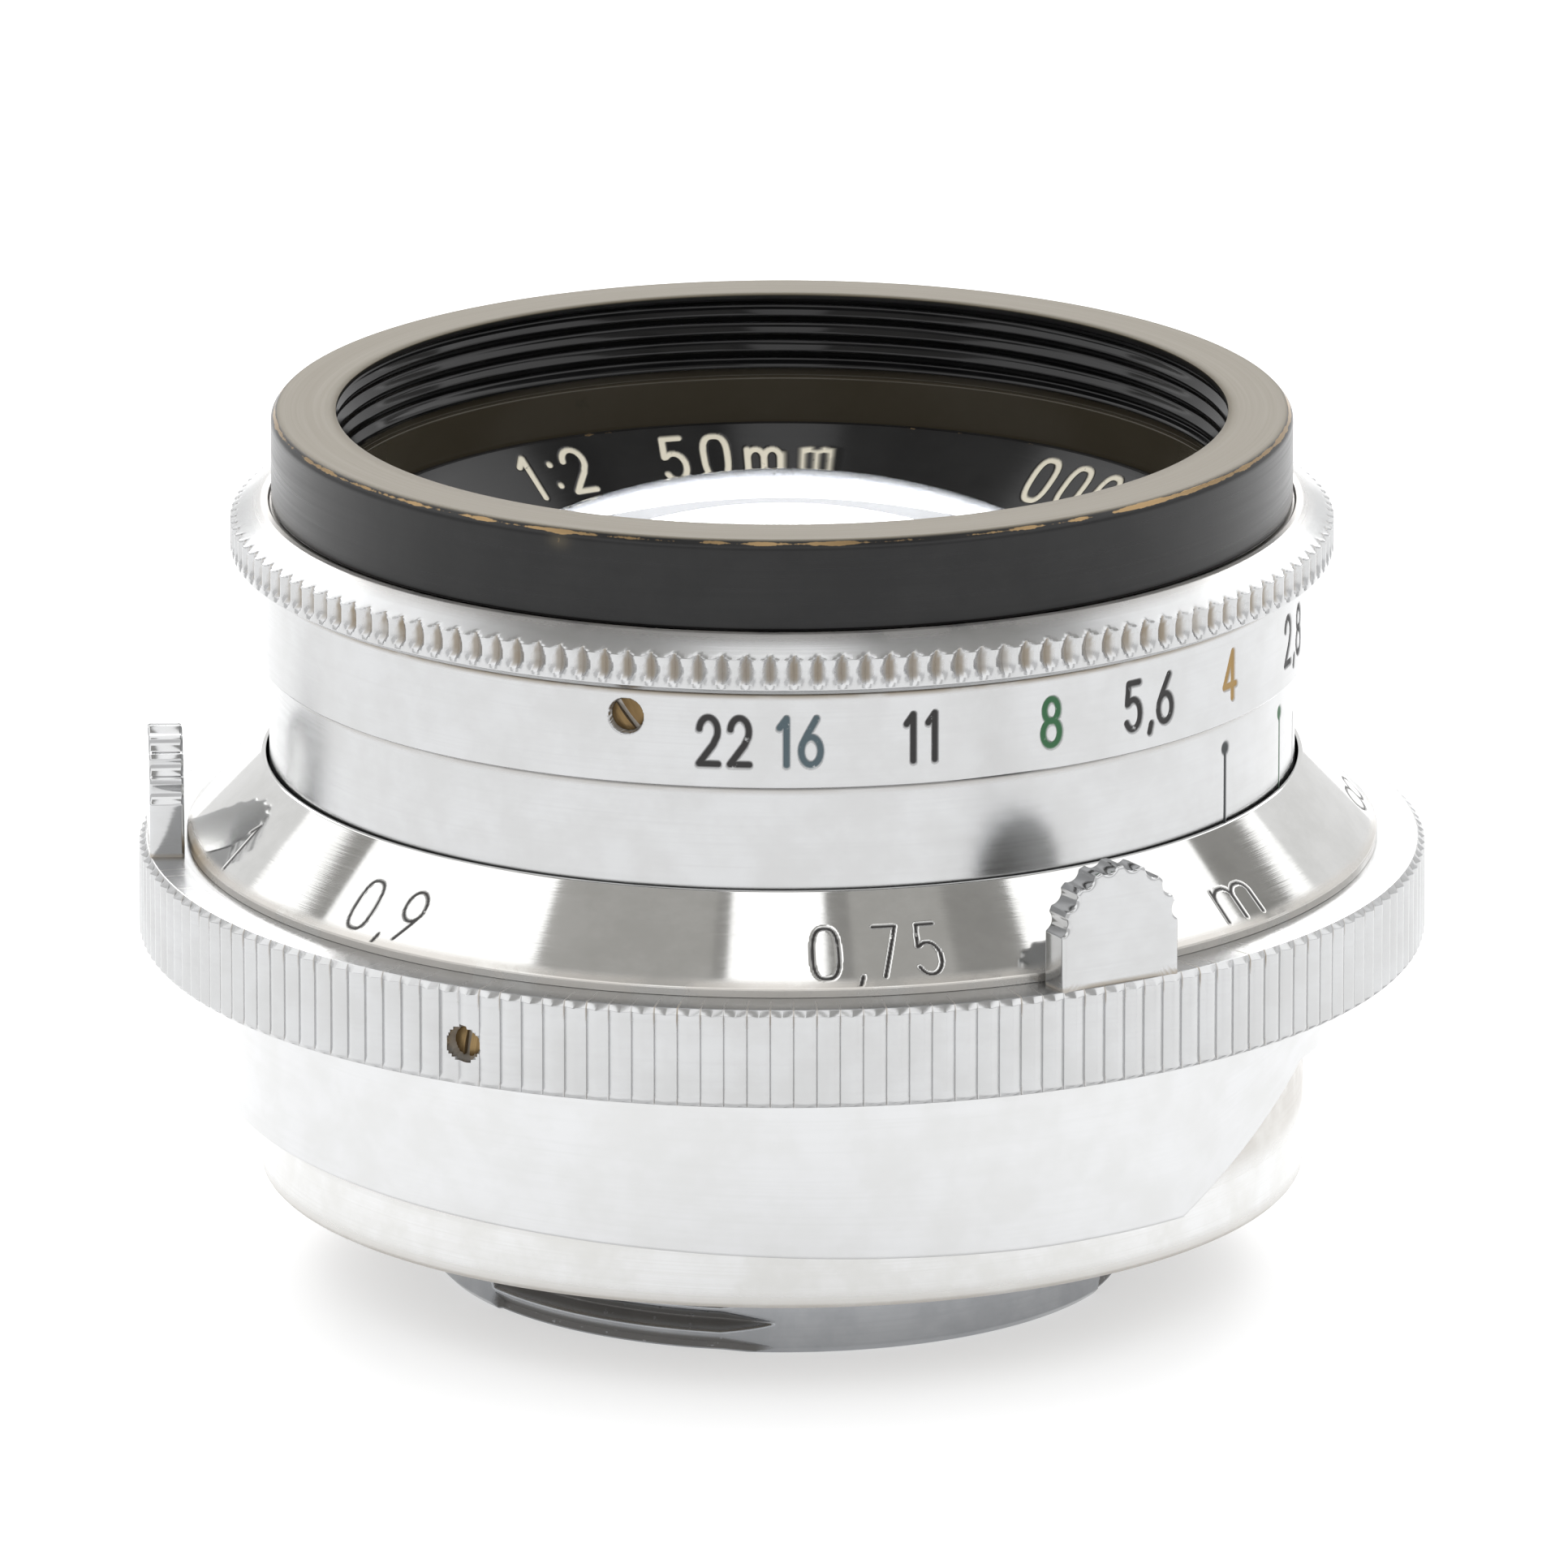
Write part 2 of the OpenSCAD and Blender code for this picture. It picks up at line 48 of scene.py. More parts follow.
# grids and profiles
# Rows run along the profile and columns around the lens; each cell becomes one quad.
def gridMesh(name, points, wrapRows, wrapCols, attributes, flip=False):
    rows, cols = points.shape[:2]
    index = np.arange(rows * cols).reshape(rows, cols)
    lower = index if wrapRows else index[:-1]
    upper = np.roll(index, -1, 0) if wrapRows else index[1:]
    if wrapCols:
        quads = np.stack([lower, np.roll(lower, -1, 1), np.roll(upper, -1, 1), upper], -1)
    else:
        quads = np.stack([lower[:, :-1], lower[:, 1:], upper[:, 1:], upper[:, :-1]], -1)
    quads = quads.reshape(-1, 4)
    if flip:
        quads = quads[:, ::-1]
    mesh = bpy.data.meshes.new(name)
    mesh.vertices.add(rows * cols)
    mesh.vertices.foreach_set("co", (points.reshape(-1) * mm).astype(np.float32))
    mesh.loops.add(quads.size)
    mesh.loops.foreach_set("vertex_index", quads.reshape(-1).astype(np.int32))
    mesh.polygons.add(len(quads))
    mesh.polygons.foreach_set("loop_start", (np.arange(len(quads)) * 4).astype(np.int32))
    mesh.update(calc_edges=True)
    mesh.polygons.foreach_set("use_smooth", np.ones(len(quads), bool))
    for key, value in attributes.items():
        if value.ndim == 3:
            layer = mesh.attributes.new(key, "FLOAT_COLOR", "POINT")
            colour = np.ones((rows * cols, 4), np.float32)
            colour[:, :3] = value.reshape(-1, 3)
            layer.data.foreach_set("color", colour.reshape(-1))
        else:
            layer = mesh.attributes.new(key, "FLOAT", "POINT")
            values = np.broadcast_to(value, (rows, cols)).reshape(-1).astype(np.float32)
            layer.data.foreach_set("value", values)
    return mesh


def addPiece(name, mesh, body, material, replaced=()):
    mesh.materials.append(material)
    piece = bpy.data.objects.new(name, mesh)
    bpy.context.scene.collection.objects.link(piece)
    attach(piece, body)
    if replaced:
        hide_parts(*replaced)
    return piece


# Collapsed rows are welded so that the surface stays closed.
def mergePoles(mesh):
    work = bmesh.new()
    work.from_mesh(mesh)
    bmesh.ops.remove_doubles(work, verts=work.verts, dist=1e-7)
    bmesh.ops.dissolve_degenerate(work, edges=work.edges, dist=1e-8)
    work.to_mesh(mesh)
    work.free()
    return mesh


# Closed profile: every corner (r, z, fillet) becomes a short arc, every side a run of rows.
# Rows crowd near the arcs, so the flat sides keep flat shading.
def roundedProfile(corners, step=0.8):
    count = len(corners)
    pts = np.array([[c[0], c[1]] for c in corners], float)
    radii = [c[2] for c in corners]
    arcs = []
    for i in range(count):
        before = pts[i - 1] - pts[i]
        after = pts[(i + 1) % count] - pts[i]
        lenB, lenA = np.linalg.norm(before), np.linalg.norm(after)
        reach = min(radii[i], lenB * 0.45, lenA * 0.45)
        start, end = pts[i] + before / lenB * reach, pts[i] + after / lenA * reach
        t = np.linspace(0, 1, 5 if radii[i] > 0.05 else 3)[:, None]
        arcs.append((1 - t) ** 2 * start + 2 * t * (1 - t) * pts[i] + t ** 2 * end)
    out = []
    for i in range(count):
        out.append(arcs[i])
        a, b = arcs[i][-1], arcs[(i + 1) % count][0]
        length = np.linalg.norm(b - a)
        if length > 0.06:
            inner = max(1, int(round(length / step)))
            t = np.unique(np.concatenate([[0.015 / length], np.linspace(0, 1, inner + 1)[1:-1],
                                          [1 - 0.015 / length]]))
            out.append(a + (b - a) * t[:, None])
    out = np.concatenate(out)
    keep = np.linalg.norm(out - np.roll(out, 1, 0), axis=1) > 1e-6
    return out[keep]


# Adds rows to the sides whose heights cross low..high (and, if given, lie outside radius outer).
def denser(profile, low, high, step, outer=None):
    out = []
    for a, b in zip(profile, np.roll(profile, -1, 0)):
        out.append(a[None])
        length = np.linalg.norm(b - a)
        inside = min(a[1], b[1]) < high and max(a[1], b[1]) > low
        if inside and length > step * 1.4 and (outer is None or outer(a, b)):
            n = int(math.ceil(length / step))
            out.append(a + (b - a) * (np.arange(1, n) / n)[:, None])
    return np.concatenate(out)


def arcLength(profile):
    return np.concatenate([[0], np.cumsum(np.linalg.norm(np.diff(profile, axis=0), axis=1))])


def evenAngles(count):
    return -180 + np.arange(count) * 360.0 / count


# Even columns plus fine ones inside each (start, end) span.
def labelAngles(count, spans, spacing):
    base = evenAngles(count)
    for start, end in spans:
        base = base[(base < start) | (base > end)]
    extra = [np.arange(a, b, spacing) for a, b in spans]
    return np.unique(np.round(np.concatenate([base] + extra), 5))


# Azimuth 0 is -Y, and azimuths run towards +X.
def place(radius, angles, heights):
    a = np.radians(angles)
    return np.stack([radius * np.sin(a), -radius * np.cos(a), heights + 0 * a], -1)


def smooth(x):
    x = np.clip(x, 0, 1)
    return x * x * (3 - 2 * x)


# Sum of a few seeded sines around the ring, in -1..1, for uneven wear.
def waves(angles, seed, count, low, high):
    rng = np.random.default_rng(seed)
    total = 0
    for _ in range(count):
        total = total + np.sin(np.radians(angles) * rng.integers(low, high) + rng.uniform(0, 6.28))
    return total / count


# strokes for the engraved numbers
def arcPoints(cx, cy, rx, ry, start, end, count=14):
    t = np.radians(np.linspace(start, end, count))
    return np.stack([cx + rx * np.cos(t), cy + ry * np.sin(t)], 1)


# A ring between an ellipse and a box, like a drawing-stencil nought.
def roundedBox(cx, cy, rx, ry, count=36):
    t = np.linspace(0, 2 * math.pi, count)
    c, q = np.cos(t), np.sin(t)
    return np.stack([cx + rx * np.sign(c) * np.abs(c) ** 0.72, cy + ry * np.sign(q) * np.abs(q) ** 0.72], 1)


glyphs = {
    "0": (0.62, [roundedBox(0.31, 0.5, 0.29, 0.5)]),
    "1": (0.34, [np.array([[0.04, 0.80], [0.24, 1.0], [0.24, 0.0]])]),
    "2": (0.60, [np.concatenate([arcPoints(0.30, 0.71, 0.27, 0.29, 172, -22, 16),
                                 [[0.44, 0.42], [0.02, 0.0], [0.58, 0.0]]])]),
    "3": (0.58, [np.concatenate([arcPoints(0.28, 0.75, 0.24, 0.25, 160, -80, 14),
                                 arcPoints(0.28, 0.26, 0.27, 0.26, 80, -160, 16)])]),
    "4": (0.66, [np.array([[0.47, 0.0], [0.47, 1.0], [0.02, 0.28], [0.64, 0.28]])]),
    "5": (0.60, [np.concatenate([[[0.52, 1.0], [0.12, 1.0], [0.07, 0.56]],
                                 arcPoints(0.29, 0.32, 0.28, 0.32, 130, -150, 18)])]),
    "6": (0.60, [np.concatenate([[[0.46, 1.0], [0.20, 0.66]],
                                 arcPoints(0.30, 0.30, 0.28, 0.30, 150, 510, 26)])]),
    "8": (0.60, [arcPoints(0.30, 0.76, 0.23, 0.24, 0, 360, 22),
                 arcPoints(0.30, 0.27, 0.28, 0.27, 0, 360, 24)]),
    "7": (0.56, [np.array([[0.02, 1.0], [0.54, 1.0], [0.18, 0.0]])]),
    "9": (0.60, [np.concatenate([[[0.14, 0.0], [0.40, 0.34]],
                                 arcPoints(0.30, 0.70, 0.28, 0.30, -30, 330, 26)])]),
    ",": (0.22, [np.array([[0.12, 0.03], [0.05, -0.15]])]),
    ":": (0.22, [np.array([[0.1, 0.2], [0.1, 0.22]]), np.array([[0.1, 0.72], [0.1, 0.74]])]),
    "m": (0.86, [np.array([[0.04, 0.0], [0.04, 0.66]]),
                 np.concatenate([arcPoints(0.24, 0.45, 0.2, 0.21, 180, 0, 12), [[0.44, 0.0]]]),
                 np.concatenate([arcPoints(0.64, 0.45, 0.2, 0.21, 180, 0, 12), [[0.84, 0.0]]])]),
    "~": (1.24, [arcPoints(0.34, 0.34, 0.30, 0.25, 20, 340, 26),
                 arcPoints(0.90, 0.34, 0.30, 0.25, -160, 160, 26),
                 np.array([[0.62, 0.425], [0.62, 0.255]]), np.array([[0.622, 0.426], [0.618, 0.254]])]),
}


# Polylines of a word, centred on x = 0 with its foot on y = 0, in millimetres.
def textStrokes(text, height, gap=0.3, squeeze=0.64):
    strokes, x = [], 0.0
    for letter in text:
        width, lines = glyphs[letter]
        strokes += [np.asarray(line) * [height * squeeze, height] + [x, 0] for line in lines]
        x += (width * squeeze + gap * (0.55 if letter in ",:" else 1.0)) * height
    x -= gap * height
    return [s - [x / 2, 0] for s in strokes], x


# Distance from each point to the nearest stroke.
def strokeDistance(px, py, strokes):
    best = np.full(px.shape, 1e9)
    for line in strokes:
        for a, b in zip(line[:-1], line[1:]):
            d = b - a
            size = max(float(d @ d), 1e-12)
            t = np.clip(((px - a[0]) * d[0] + (py - a[1]) * d[1]) / size, 0, 1)
            best = np.minimum(best, np.hypot(px - a[0] - t * d[0], py - a[1] - t * d[1]))
    return best


# Groove depth 0..1, ink 0..1 and ink colour on the grid, from (azimuth, foot, strokes, half width, colour).
def engrave(angles, along, rowMask, labels, radius):
    rows = len(along)
    cut = np.zeros((rows, len(angles)))
    tint = np.zeros((rows, len(angles), 3))
    for azimuth, foot, strokes, half, colour in labels:
        allPts = np.concatenate(strokes)
        low, high = allPts.min(0) - half * 2.5, allPts.max(0) + half * 2.5
        x = np.radians((angles - azimuth + 180) % 360 - 180) * radius
        colIds = np.where((x > low[0]) & (x < high[0]))[0]
        rowIds = np.where(rowMask & (along - foot > low[1]) & (along - foot < high[1]))[0]
        if not len(colIds) or not len(rowIds):
            continue
        px, py = np.meshgrid(x[colIds], along[rowIds] - foot)
        distance = strokeDistance(px, py, strokes)
        level = smooth((half * 1.12 - distance) / (half * 0.5))
        block = np.ix_(rowIds, colIds)
        stronger = level > cut[block]
        cut[block] = np.maximum(cut[block], level)
        part = tint[block]
        part[stronger] = colour
        tint[block] = part
    return cut, tint


# materials
def makeTree(name):
    material = bpy.data.materials.new(name)
    material.use_nodes = True
    tree = material.node_tree
    tree.nodes.clear()
    return material, tree


def put(tree, kind, settings=None, **sockets):
    item = tree.nodes.new(kind)
    for key, value in (settings or {}).items():
        setattr(item, key, value)
    for key, value in sockets.items():
        if key[0] == "i" and key[1:].isdigit():
            socket = item.inputs[int(key[1:])]
        else:
            socket = item.inputs[key.replace("_", " ")]
        if isinstance(value, bpy.types.NodeSocket):
            tree.links.new(value, socket)
        else:
            socket.default_value = value
    return item


def stepRamp(tree, source, low, high):
    return put(tree, "ShaderNodeMapRange", {"interpolation_type": "SMOOTHSTEP"},
               i0=source, i1=low, i2=high, i3=0.0, i4=1.0).outputs[0]


def maths(tree, operation, a, b):
    return put(tree, "ShaderNodeMath", {"operation": operation}, i0=a, i1=b).outputs[0]


def mixColour(tree, factor, a, b):
    item = put(tree, "ShaderNodeMix", {"data_type": "RGBA"})
    for socket, value in ((item.inputs[0], factor), (item.inputs[6], a), (item.inputs[7], b)):
        if isinstance(value, bpy.types.NodeSocket):
            tree.links.new(value, socket)
        else:
            socket.default_value = value
    return item.outputs[2]


def noise(tree, vector, scale, detail=3.0, rough=0.55):
    return put(tree, "ShaderNodeTexNoise", {}, Vector=vector, Scale=scale, Detail=detail,
               Roughness=rough).outputs[0]


# Turned metal or lacquer: fine rings of grain, mottling, dirt in grooves, worn edges and ink; the same ink
# layer also carries the painted shade in the mount's thread grooves.
def metalFinish(name, look, lathe=True):
    material, tree = makeTree(name)
    coord = put(tree, "ShaderNodeTexCoord").outputs["Object"]
    if lathe:
        split = put(tree, "ShaderNodeSeparateXYZ", {}, i0=coord)
        along = put(tree, "ShaderNodeAttribute", {"attribute_name": "along"}).outputs["Fac"]
        alongMetres = maths(tree, "MULTIPLY", along, 0.001)
        coord = put(tree, "ShaderNodeCombineXYZ", {}, i0=split.outputs[0], i1=split.outputs[1],
                    i2=alongMetres).outputs[0]
    grainMap = put(tree, "ShaderNodeMapping", {}, Vector=coord,
                   Scale=(look["grainAround"], look["grainAround"],
                                                                   look["grainAcross"])).outputs[0]
    grain = noise(tree, grainMap, 1.0, 4.0, 0.6)
    fineMap = put(tree, "ShaderNodeMapping", {}, Vector=coord, Scale=(260.0, 260.0, 26000.0)).outputs[0]
    fine = noise(tree, fineMap, 1.0, 2.0, 0.5)
    mottleMap = put(tree, "ShaderNodeMapping", {}, Vector=coord, Scale=(1.0, 1.0, 1.0)).outputs[0]
    mottle = noise(tree, mottleMap, 420.0, 5.0, 0.6)
    speck = noise(tree, mottleMap, 2600.0, 3.0, 0.6)
    base = mixColour(tree, stepRamp(tree, mottle, 0.32, 0.68), (*look["dark"], 1), (*look["light"], 1))
    grainShare = maths(tree, "MULTIPLY", stepRamp(tree, grain, 0.45, 0.7), look["grainTint"])
    base = mixColour(tree, grainShare, base, (*look["dark"], 1))
    metallic = look["metallic"]
    rough = maths(tree, "ADD", look["rough"], maths(tree, "MULTIPLY", maths(tree, "SUBTRACT", grain, 0.5),
                                                    look["roughSpread"]))
    if lathe:
        dirt = put(tree, "ShaderNodeAttribute", {"attribute_name": "dirt"}).outputs["Fac"]
        uneven = stepRamp(tree, mottle, look["dirtFrom"], look["dirtFrom"] + 0.25)
        dirty = maths(tree, "MULTIPLY", dirt, maths(tree, "ADD", 0.4, maths(tree, "MULTIPLY", uneven, 0.6)))
        base = mixColour(tree, dirty, base, (*look["dirtColour"], 1))
        metallic = maths(tree, "MULTIPLY", maths(tree, "SUBTRACT", 1.0, dirty), look["metallic"])
        rough = maths(tree, "ADD", rough, maths(tree, "MULTIPLY", dirty, 0.4))
        wear = put(tree, "ShaderNodeAttribute", {"attribute_name": "wear"}).outputs["Fac"]
        patch = noise(tree, mottleMap, 650.0, 5.0, 0.65)
        patchy = maths(tree, "MULTIPLY", maths(tree, "SUBTRACT", patch, 0.5), 1.3)
        worn = stepRamp(tree, maths(tree, "ADD", wear, patchy), 0.5, 0.60)
        base = mixColour(tree, worn, base, (*look["wornColour"], 1))
        metallic = maths(tree, "MAXIMUM", metallic, worn)
        ink = put(tree, "ShaderNodeAttribute", {"attribute_name": "ink"}).outputs["Fac"]
        tint = put(tree, "ShaderNodeAttribute", {"attribute_name": "tint"}).outputs["Color"]
        chipped = maths(tree, "MULTIPLY", ink, stepRamp(tree, speck, 0.22, 0.36))
        base = mixColour(tree, chipped, base, tint)
        metallic = maths(tree, "MULTIPLY", metallic, maths(tree, "SUBTRACT", 1.0, chipped))
        rough = maths(tree, "ADD", rough, maths(tree, "MULTIPLY", chipped, 0.35))
        gloss = put(tree, "ShaderNodeAttribute", {"attribute_name": "gloss"}).outputs["Fac"]
        rough = maths(tree, "MULTIPLY", rough, maths(tree, "SUBTRACT", 1.0,
                                                     maths(tree, "MULTIPLY", gloss, 0.75)))
    bumpSource = maths(tree, "ADD", maths(tree, "MULTIPLY", fine, 0.5), grain)
    normal = put(tree, "ShaderNodeBump", {}, Strength=look["bump"], Distance=0.00002,
                 Height=bumpSource).outputs[0]
    shader = put(tree, "ShaderNodeBsdfPrincipled", {}, Base_Color=base, Metallic=metallic, Roughness=rough,
                 IOR=look.get("ior", 1.5), Specular_IOR_Level=look.get("specular", 0.5), Normal=normal)
    put(tree, "ShaderNodeOutputMaterial", {}, Surface=shader.outputs[0])
    return material


# Polished glass with a thin pale coating that shows at grazing angles, and a few cleaning marks.
def glassFinish(name, tint, coat):
    material, tree = makeTree(name)
    coord = put(tree, "ShaderNodeTexCoord").outputs["Object"]
    mapped = put(tree, "ShaderNodeMapping", {}, Vector=coord, Rotation=(0.3, 0.2, 0.7),
                 Scale=(60, 2400, 300)).outputs[0]
    marks = stepRamp(tree, noise(tree, mapped, 1.0, 2.0, 0.5), 0.68, 0.76)
    weight = put(tree, "ShaderNodeLayerWeight", {}, Blend=0.35).outputs["Fresnel"]
    colour = mixColour(tree, weight, (*tint, 1), (*coat, 1))
    rough = maths(tree, "MULTIPLY", marks, 0.06)
    shader = put(tree, "ShaderNodeBsdfPrincipled", {}, Base_Color=colour, Roughness=rough, IOR=1.62,
                 Transmission_Weight=1.0, Coat_Weight=0.25, Coat_Roughness=0.02)
    put(tree, "ShaderNodeOutputMaterial", {}, Surface=shader.outputs[0])
    return material


satinLook = dict(dark=(0.440, 0.442, 0.443), light=(0.474, 0.478, 0.484), grainTint=0.3, grainAround=60.0,
                 grainAcross=9000.0, metallic=1.0, rough=0.24, roughSpread=0.12, bump=0.05, dirtFrom=0.30,
                 dirtColour=(0.25, 0.20, 0.135), wornColour=(0.70, 0.62, 0.47))
brightLook = dict(satinLook, dark=(0.60, 0.598, 0.585), light=(0.66, 0.658, 0.648), grainTint=0.12,
                  rough=0.07,
                  roughSpread=0.06, bump=0.03)
lacquerLook = dict(dark=(0.0035, 0.0035, 0.0038), light=(0.007, 0.007, 0.0072), grainTint=0.3,
                   grainAround=80.0,
                   grainAcross=7000.0, metallic=0.0, rough=0.30, roughSpread=0.2, bump=0.06, dirtFrom=0.05,
                   dirtColour=(0.080, 0.066, 0.042), wornColour=(0.27, 0.185, 0.095), specular=0.30)
brassLook = dict(dark=(0.13, 0.085, 0.04), light=(0.30, 0.21, 0.10), grainTint=0.5, grainAround=120.0,
                 grainAcross=6000.0, metallic=1.0, rough=0.34, roughSpread=0.25, bump=0.15, dirtFrom=0.3,
                 dirtColour=(0.05, 0.035, 0.02), wornColour=(0.66, 0.5, 0.28))
blackBrassLook = dict(lacquerLook, dark=(0.010, 0.0098, 0.0095), light=(0.020, 0.0195, 0.019), rough=0.6,
                      bump=0.2,
                      specular=0.3)
steelLook = dict(satinLook, dark=(0.42, 0.42, 0.42), light=(0.60, 0.60, 0.60), rough=0.3)
# Rear barrel chrome: the brushed grain is its real finish; its extra lightness over the satin chrome is
# painted light.
brushedPaintedLightLook = dict(satinLook, dark=(0.565, 0.563, 0.551), light=(0.628, 0.631, 0.633), grainTint=0.6,
                   grainAround=9.0,
                   grainAcross=15000.0)
# A lighter copy of the satin chrome for the cam sleeve: the extra lightness is painted light.
sleevePaintedLightLook = dict(satinLook, dark=(0.535, 0.537, 0.537), light=(0.565, 0.569, 0.576))
collarLook = dict(satinLook, dark=(0.335, 0.345, 0.360), light=(0.395, 0.405, 0.420), rough=0.2)
bladeLook = dict(lacquerLook, dark=(0.030, 0.032, 0.038), light=(0.055, 0.058, 0.068), metallic=0.6,
                 rough=0.42)

satin = metalFinish("satin_chrome", satinLook)
bright = metalFinish("bright_chrome", brightLook)
brushed = metalFinish("satin_chrome_brushed_painted_light", brushedPaintedLightLook)
collarFinish = metalFinish("satin_chrome_collar", collarLook)
sleevePaintedLightFinish = metalFinish("satin_chrome_sleeve_painted_light", sleevePaintedLightLook)
lacquer = metalFinish("black_lacquer", lacquerLook)
brassLathe = metalFinish("brass_turned", brassLook)
glass = glassFinish("coated_glass", (0.93, 0.95, 0.98), (0.78, 0.84, 0.97))
nodeLooks = {
    "satin_chrome": metalFinish("satin_chrome_plain", satinLook, False),
    "bright_chrome": metalFinish("bright_chrome_plain", brightLook, False),
    "black_lacquer": metalFinish("black_lacquer_plain", lacquerLook, False),
    "blackened_brass": metalFinish("blackened_brass_plain", blackBrassLook, False),
    "brass": metalFinish("brass_plain", brassLook, False),
    "steel": metalFinish("steel_plain", steelLook, False),
    "blade_steel": metalFinish("blade_steel_plain", bladeLook, False),
    "coated_glass": glass,
}
for part in frame["record"]["subparts"]:
    holder = nodes[part["node"]]
    if len(holder.data.materials) == 0:
        holder.data.materials.append(None)
    for i in range(len(holder.data.materials)):
        holder.data.materials[i] = nodeLooks[part["material_slot"]]
print("stage: materials ready")


# Vertex attributes of a clean surface: no dirt, wear, ink, painted shade or gloss.
def cleanData(shape):
    data = {key: np.zeros(shape) for key in ("dirt", "wear", "ink", "gloss")}
    data["tint"] = np.zeros(shape + (3,))
    return data


# Depth share 0..1 of round pits: smooth in the distance to the nearest pit centre.
def pitShare(r, z, az, s, radius):
    total = np.zeros_like(r)
    for pit in s["pits"]:
        x = np.radians((az - pit + 180) % 360 - 180) * radius
        total = np.maximum(total, smooth((s["pitR"] + 0.03 - np.hypot(x, z - s["pitZ"])) / 0.05))
    return total


# Turns a closed profile; radiusOf(r, z, azimuth) may reshape the radius at each point.
def latheMesh(name, profile, angles, radiusOf=None, extra=None, heightOf=None):
    r = np.repeat(profile[:, :1], len(angles), 1)
    z = np.repeat(profile[:, 1:], len(angles), 1)
    az = np.repeat(angles[None], len(profile), 0)
    data = cleanData(r.shape)
    data["along"] = np.repeat(arcLength(profile)[:, None], len(angles), 1)
    if heightOf is not None:
        z = heightOf(r, z, az)
    if radiusOf is not None:
        r = radiusOf(r, z, az)
    if extra is not None:
        data.update(extra(r, z, az))
    points = place(r, az, z)
    area = np.sum(profile[:, 0] * np.roll(profile[:, 1], -1) - np.roll(profile[:, 0], -1) * profile[:, 1])
    return gridMesh(name, points, True, True, data, flip=area < 0)


# mount ring: collar with three stretches of interrupted thread
mountShape = dict(corners=[(12.5, 0, 0.08), (13.89, 0, 0.05), (14.19, 0.3, 0.05), (14.19, 4.05, 0.02),
                           (19.38, 4.05, 0.1), (19.38, 5.35, 0.1), (12.5, 5.35, 0.1)],
                  centres=(0.32, 1.35, 2.38, 3.41), depth=0.5, half=0.46, start=-56.0, arc=55.0, taper=9.0)


def mountRing(s):
    # Depth falls to nothing towards the right end of each stretch, so each groove ends in a point.
    def cutOf(r, z, az):
        local = (az - s["start"]) % 120
        ends = smooth(local / 1.2) * np.clip((s["arc"] - local) / s["taper"], 0, 1) ** 0.7
        ends = np.where(local < s["arc"], ends, 0)
        cut = np.zeros_like(r)
        for centre in s["centres"]:
            off = np.abs(z - centre + 0.35 * (local - 27) / 360)
            cut = np.maximum(cut, s["depth"] * ends - off * s["depth"] / s["half"])
        return np.clip(cut, 0, None) * (r > 13.8) * (z < 4.0)

    profile = denser(roundedProfile(s["corners"]), -1, 4.02, 0.055, lambda a, b: min(a[0], b[0]) > 13.8)
    ends = [(s["start"] + 120 * k + o, s["start"] + 120 * k + o + w)
            for k in (0, 1) for o, w in ((-0.5, 2.5), (44, 12))]
    angles = labelAngles(360, ends + [(-176.5, -174), (-132, -119.9)], 0.25)
    # The dark brownish fill in the thread grooves is painted shade, not ink.
    mesh = latheMesh("mount_collar_turned", profile, angles, lambda r, z, az: r - cutOf(r, z, az),
                     lambda r, z, az: {"ink": 0.8 * smooth((14.17 - r) / 0.25) * (r > 13.5) * (z > 0.05)
                                       * (z < 4.0) * (cutOf(14.19 + 0 * r, z, az) > 0.01),
                                       "tint": np.zeros(r.shape + (3,)) + [0.062, 0.055, 0.045],
                                       "dirt": 0.8 * smooth((z - 3.6) / 0.45) * (r > 14.0) * (r < 19)})
    addPiece("mount_collar_turned", mesh, "mount", collarFinish, ["mount_ring"])


mountRing(mountShape)


# rear barrel and cam sleeve
barrelShape = dict(corners=[(19.4, 4.05, 0.05), (20.97, 4.05, 0.08), (21.12, 4.2, 0.08), (21.12, 14.3, 0.1),
                            (18.45, 14.3, 0.1), (18.45, 7.9, 0.05), (19.4, 7.9, 0.05)])


def rearBarrel(s):
    profile = roundedProfile(s["corners"], 0.5)
    mesh = latheMesh("rear_barrel_turned", profile, evenAngles(480), None, lambda r, z, az: {
        "dirt": 0.35 * smooth((z - 6.2) / 1.2) * (r > 21) + 0.5 * smooth((4.5 - z) / 0.4) * (r > 20.9)})
    addPiece("rear_barrel_turned", mesh, "mount", brushed, ["rear_barrel"])


rearBarrel(barrelShape)

sleeveShape = dict(corners=[(21.3, 6.36, 0.1), (22.8, 6.36, 0.12), (22.8, 13.75, 0.05), (22.3, 13.75, 0.03),
                            (22.3, 14.6, 0.05), (21.3, 14.6, 0.1)],
                   foot=6.36, relief=4.5, first=55.3, last=200.2, half=10.6, lean=0.876, middle=0.67,
                   lowest=66.0)


def camSleeve(s):
    # The lower edge is the highest of a level, a leaning plane and the relief; the side is stretched to it.
    def heightOf(r, z, az):
        turn = az % 360
        leaning = s["middle"] - s["lean"] * np.cos(np.radians(az - s["lowest"]))
        rise = np.clip((turn - s["first"] + s["half"]) / (2 * s["half"]), 0, 1)
        fall = np.clip((s["last"] + s["half"] - turn) / (2 * s["half"]), 0, 1)
        lift = np.maximum(np.maximum(leaning, 0), s["relief"] * np.minimum(rise, fall))
        t = np.clip((13.0 - z) / (13.0 - s["foot"]), 0, 1)
        return z + lift * t

    profile = roundedProfile(s["corners"], 0.4)
    angles = labelAngles(420, [(42, 69), (-173, -146)], 0.3)
    mesh = latheMesh("cam_sleeve_turned", profile, angles, None, lambda r, z, az: {
        "dirt": 0.7 * smooth((z - 13.2) / 0.5) * (r > 22.2)}, heightOf)
    addPiece("cam_sleeve_turned", mesh, "focusing_ring", sleevePaintedLightFinish, ["cam_sleeve"])


camSleeve(sleeveShape)


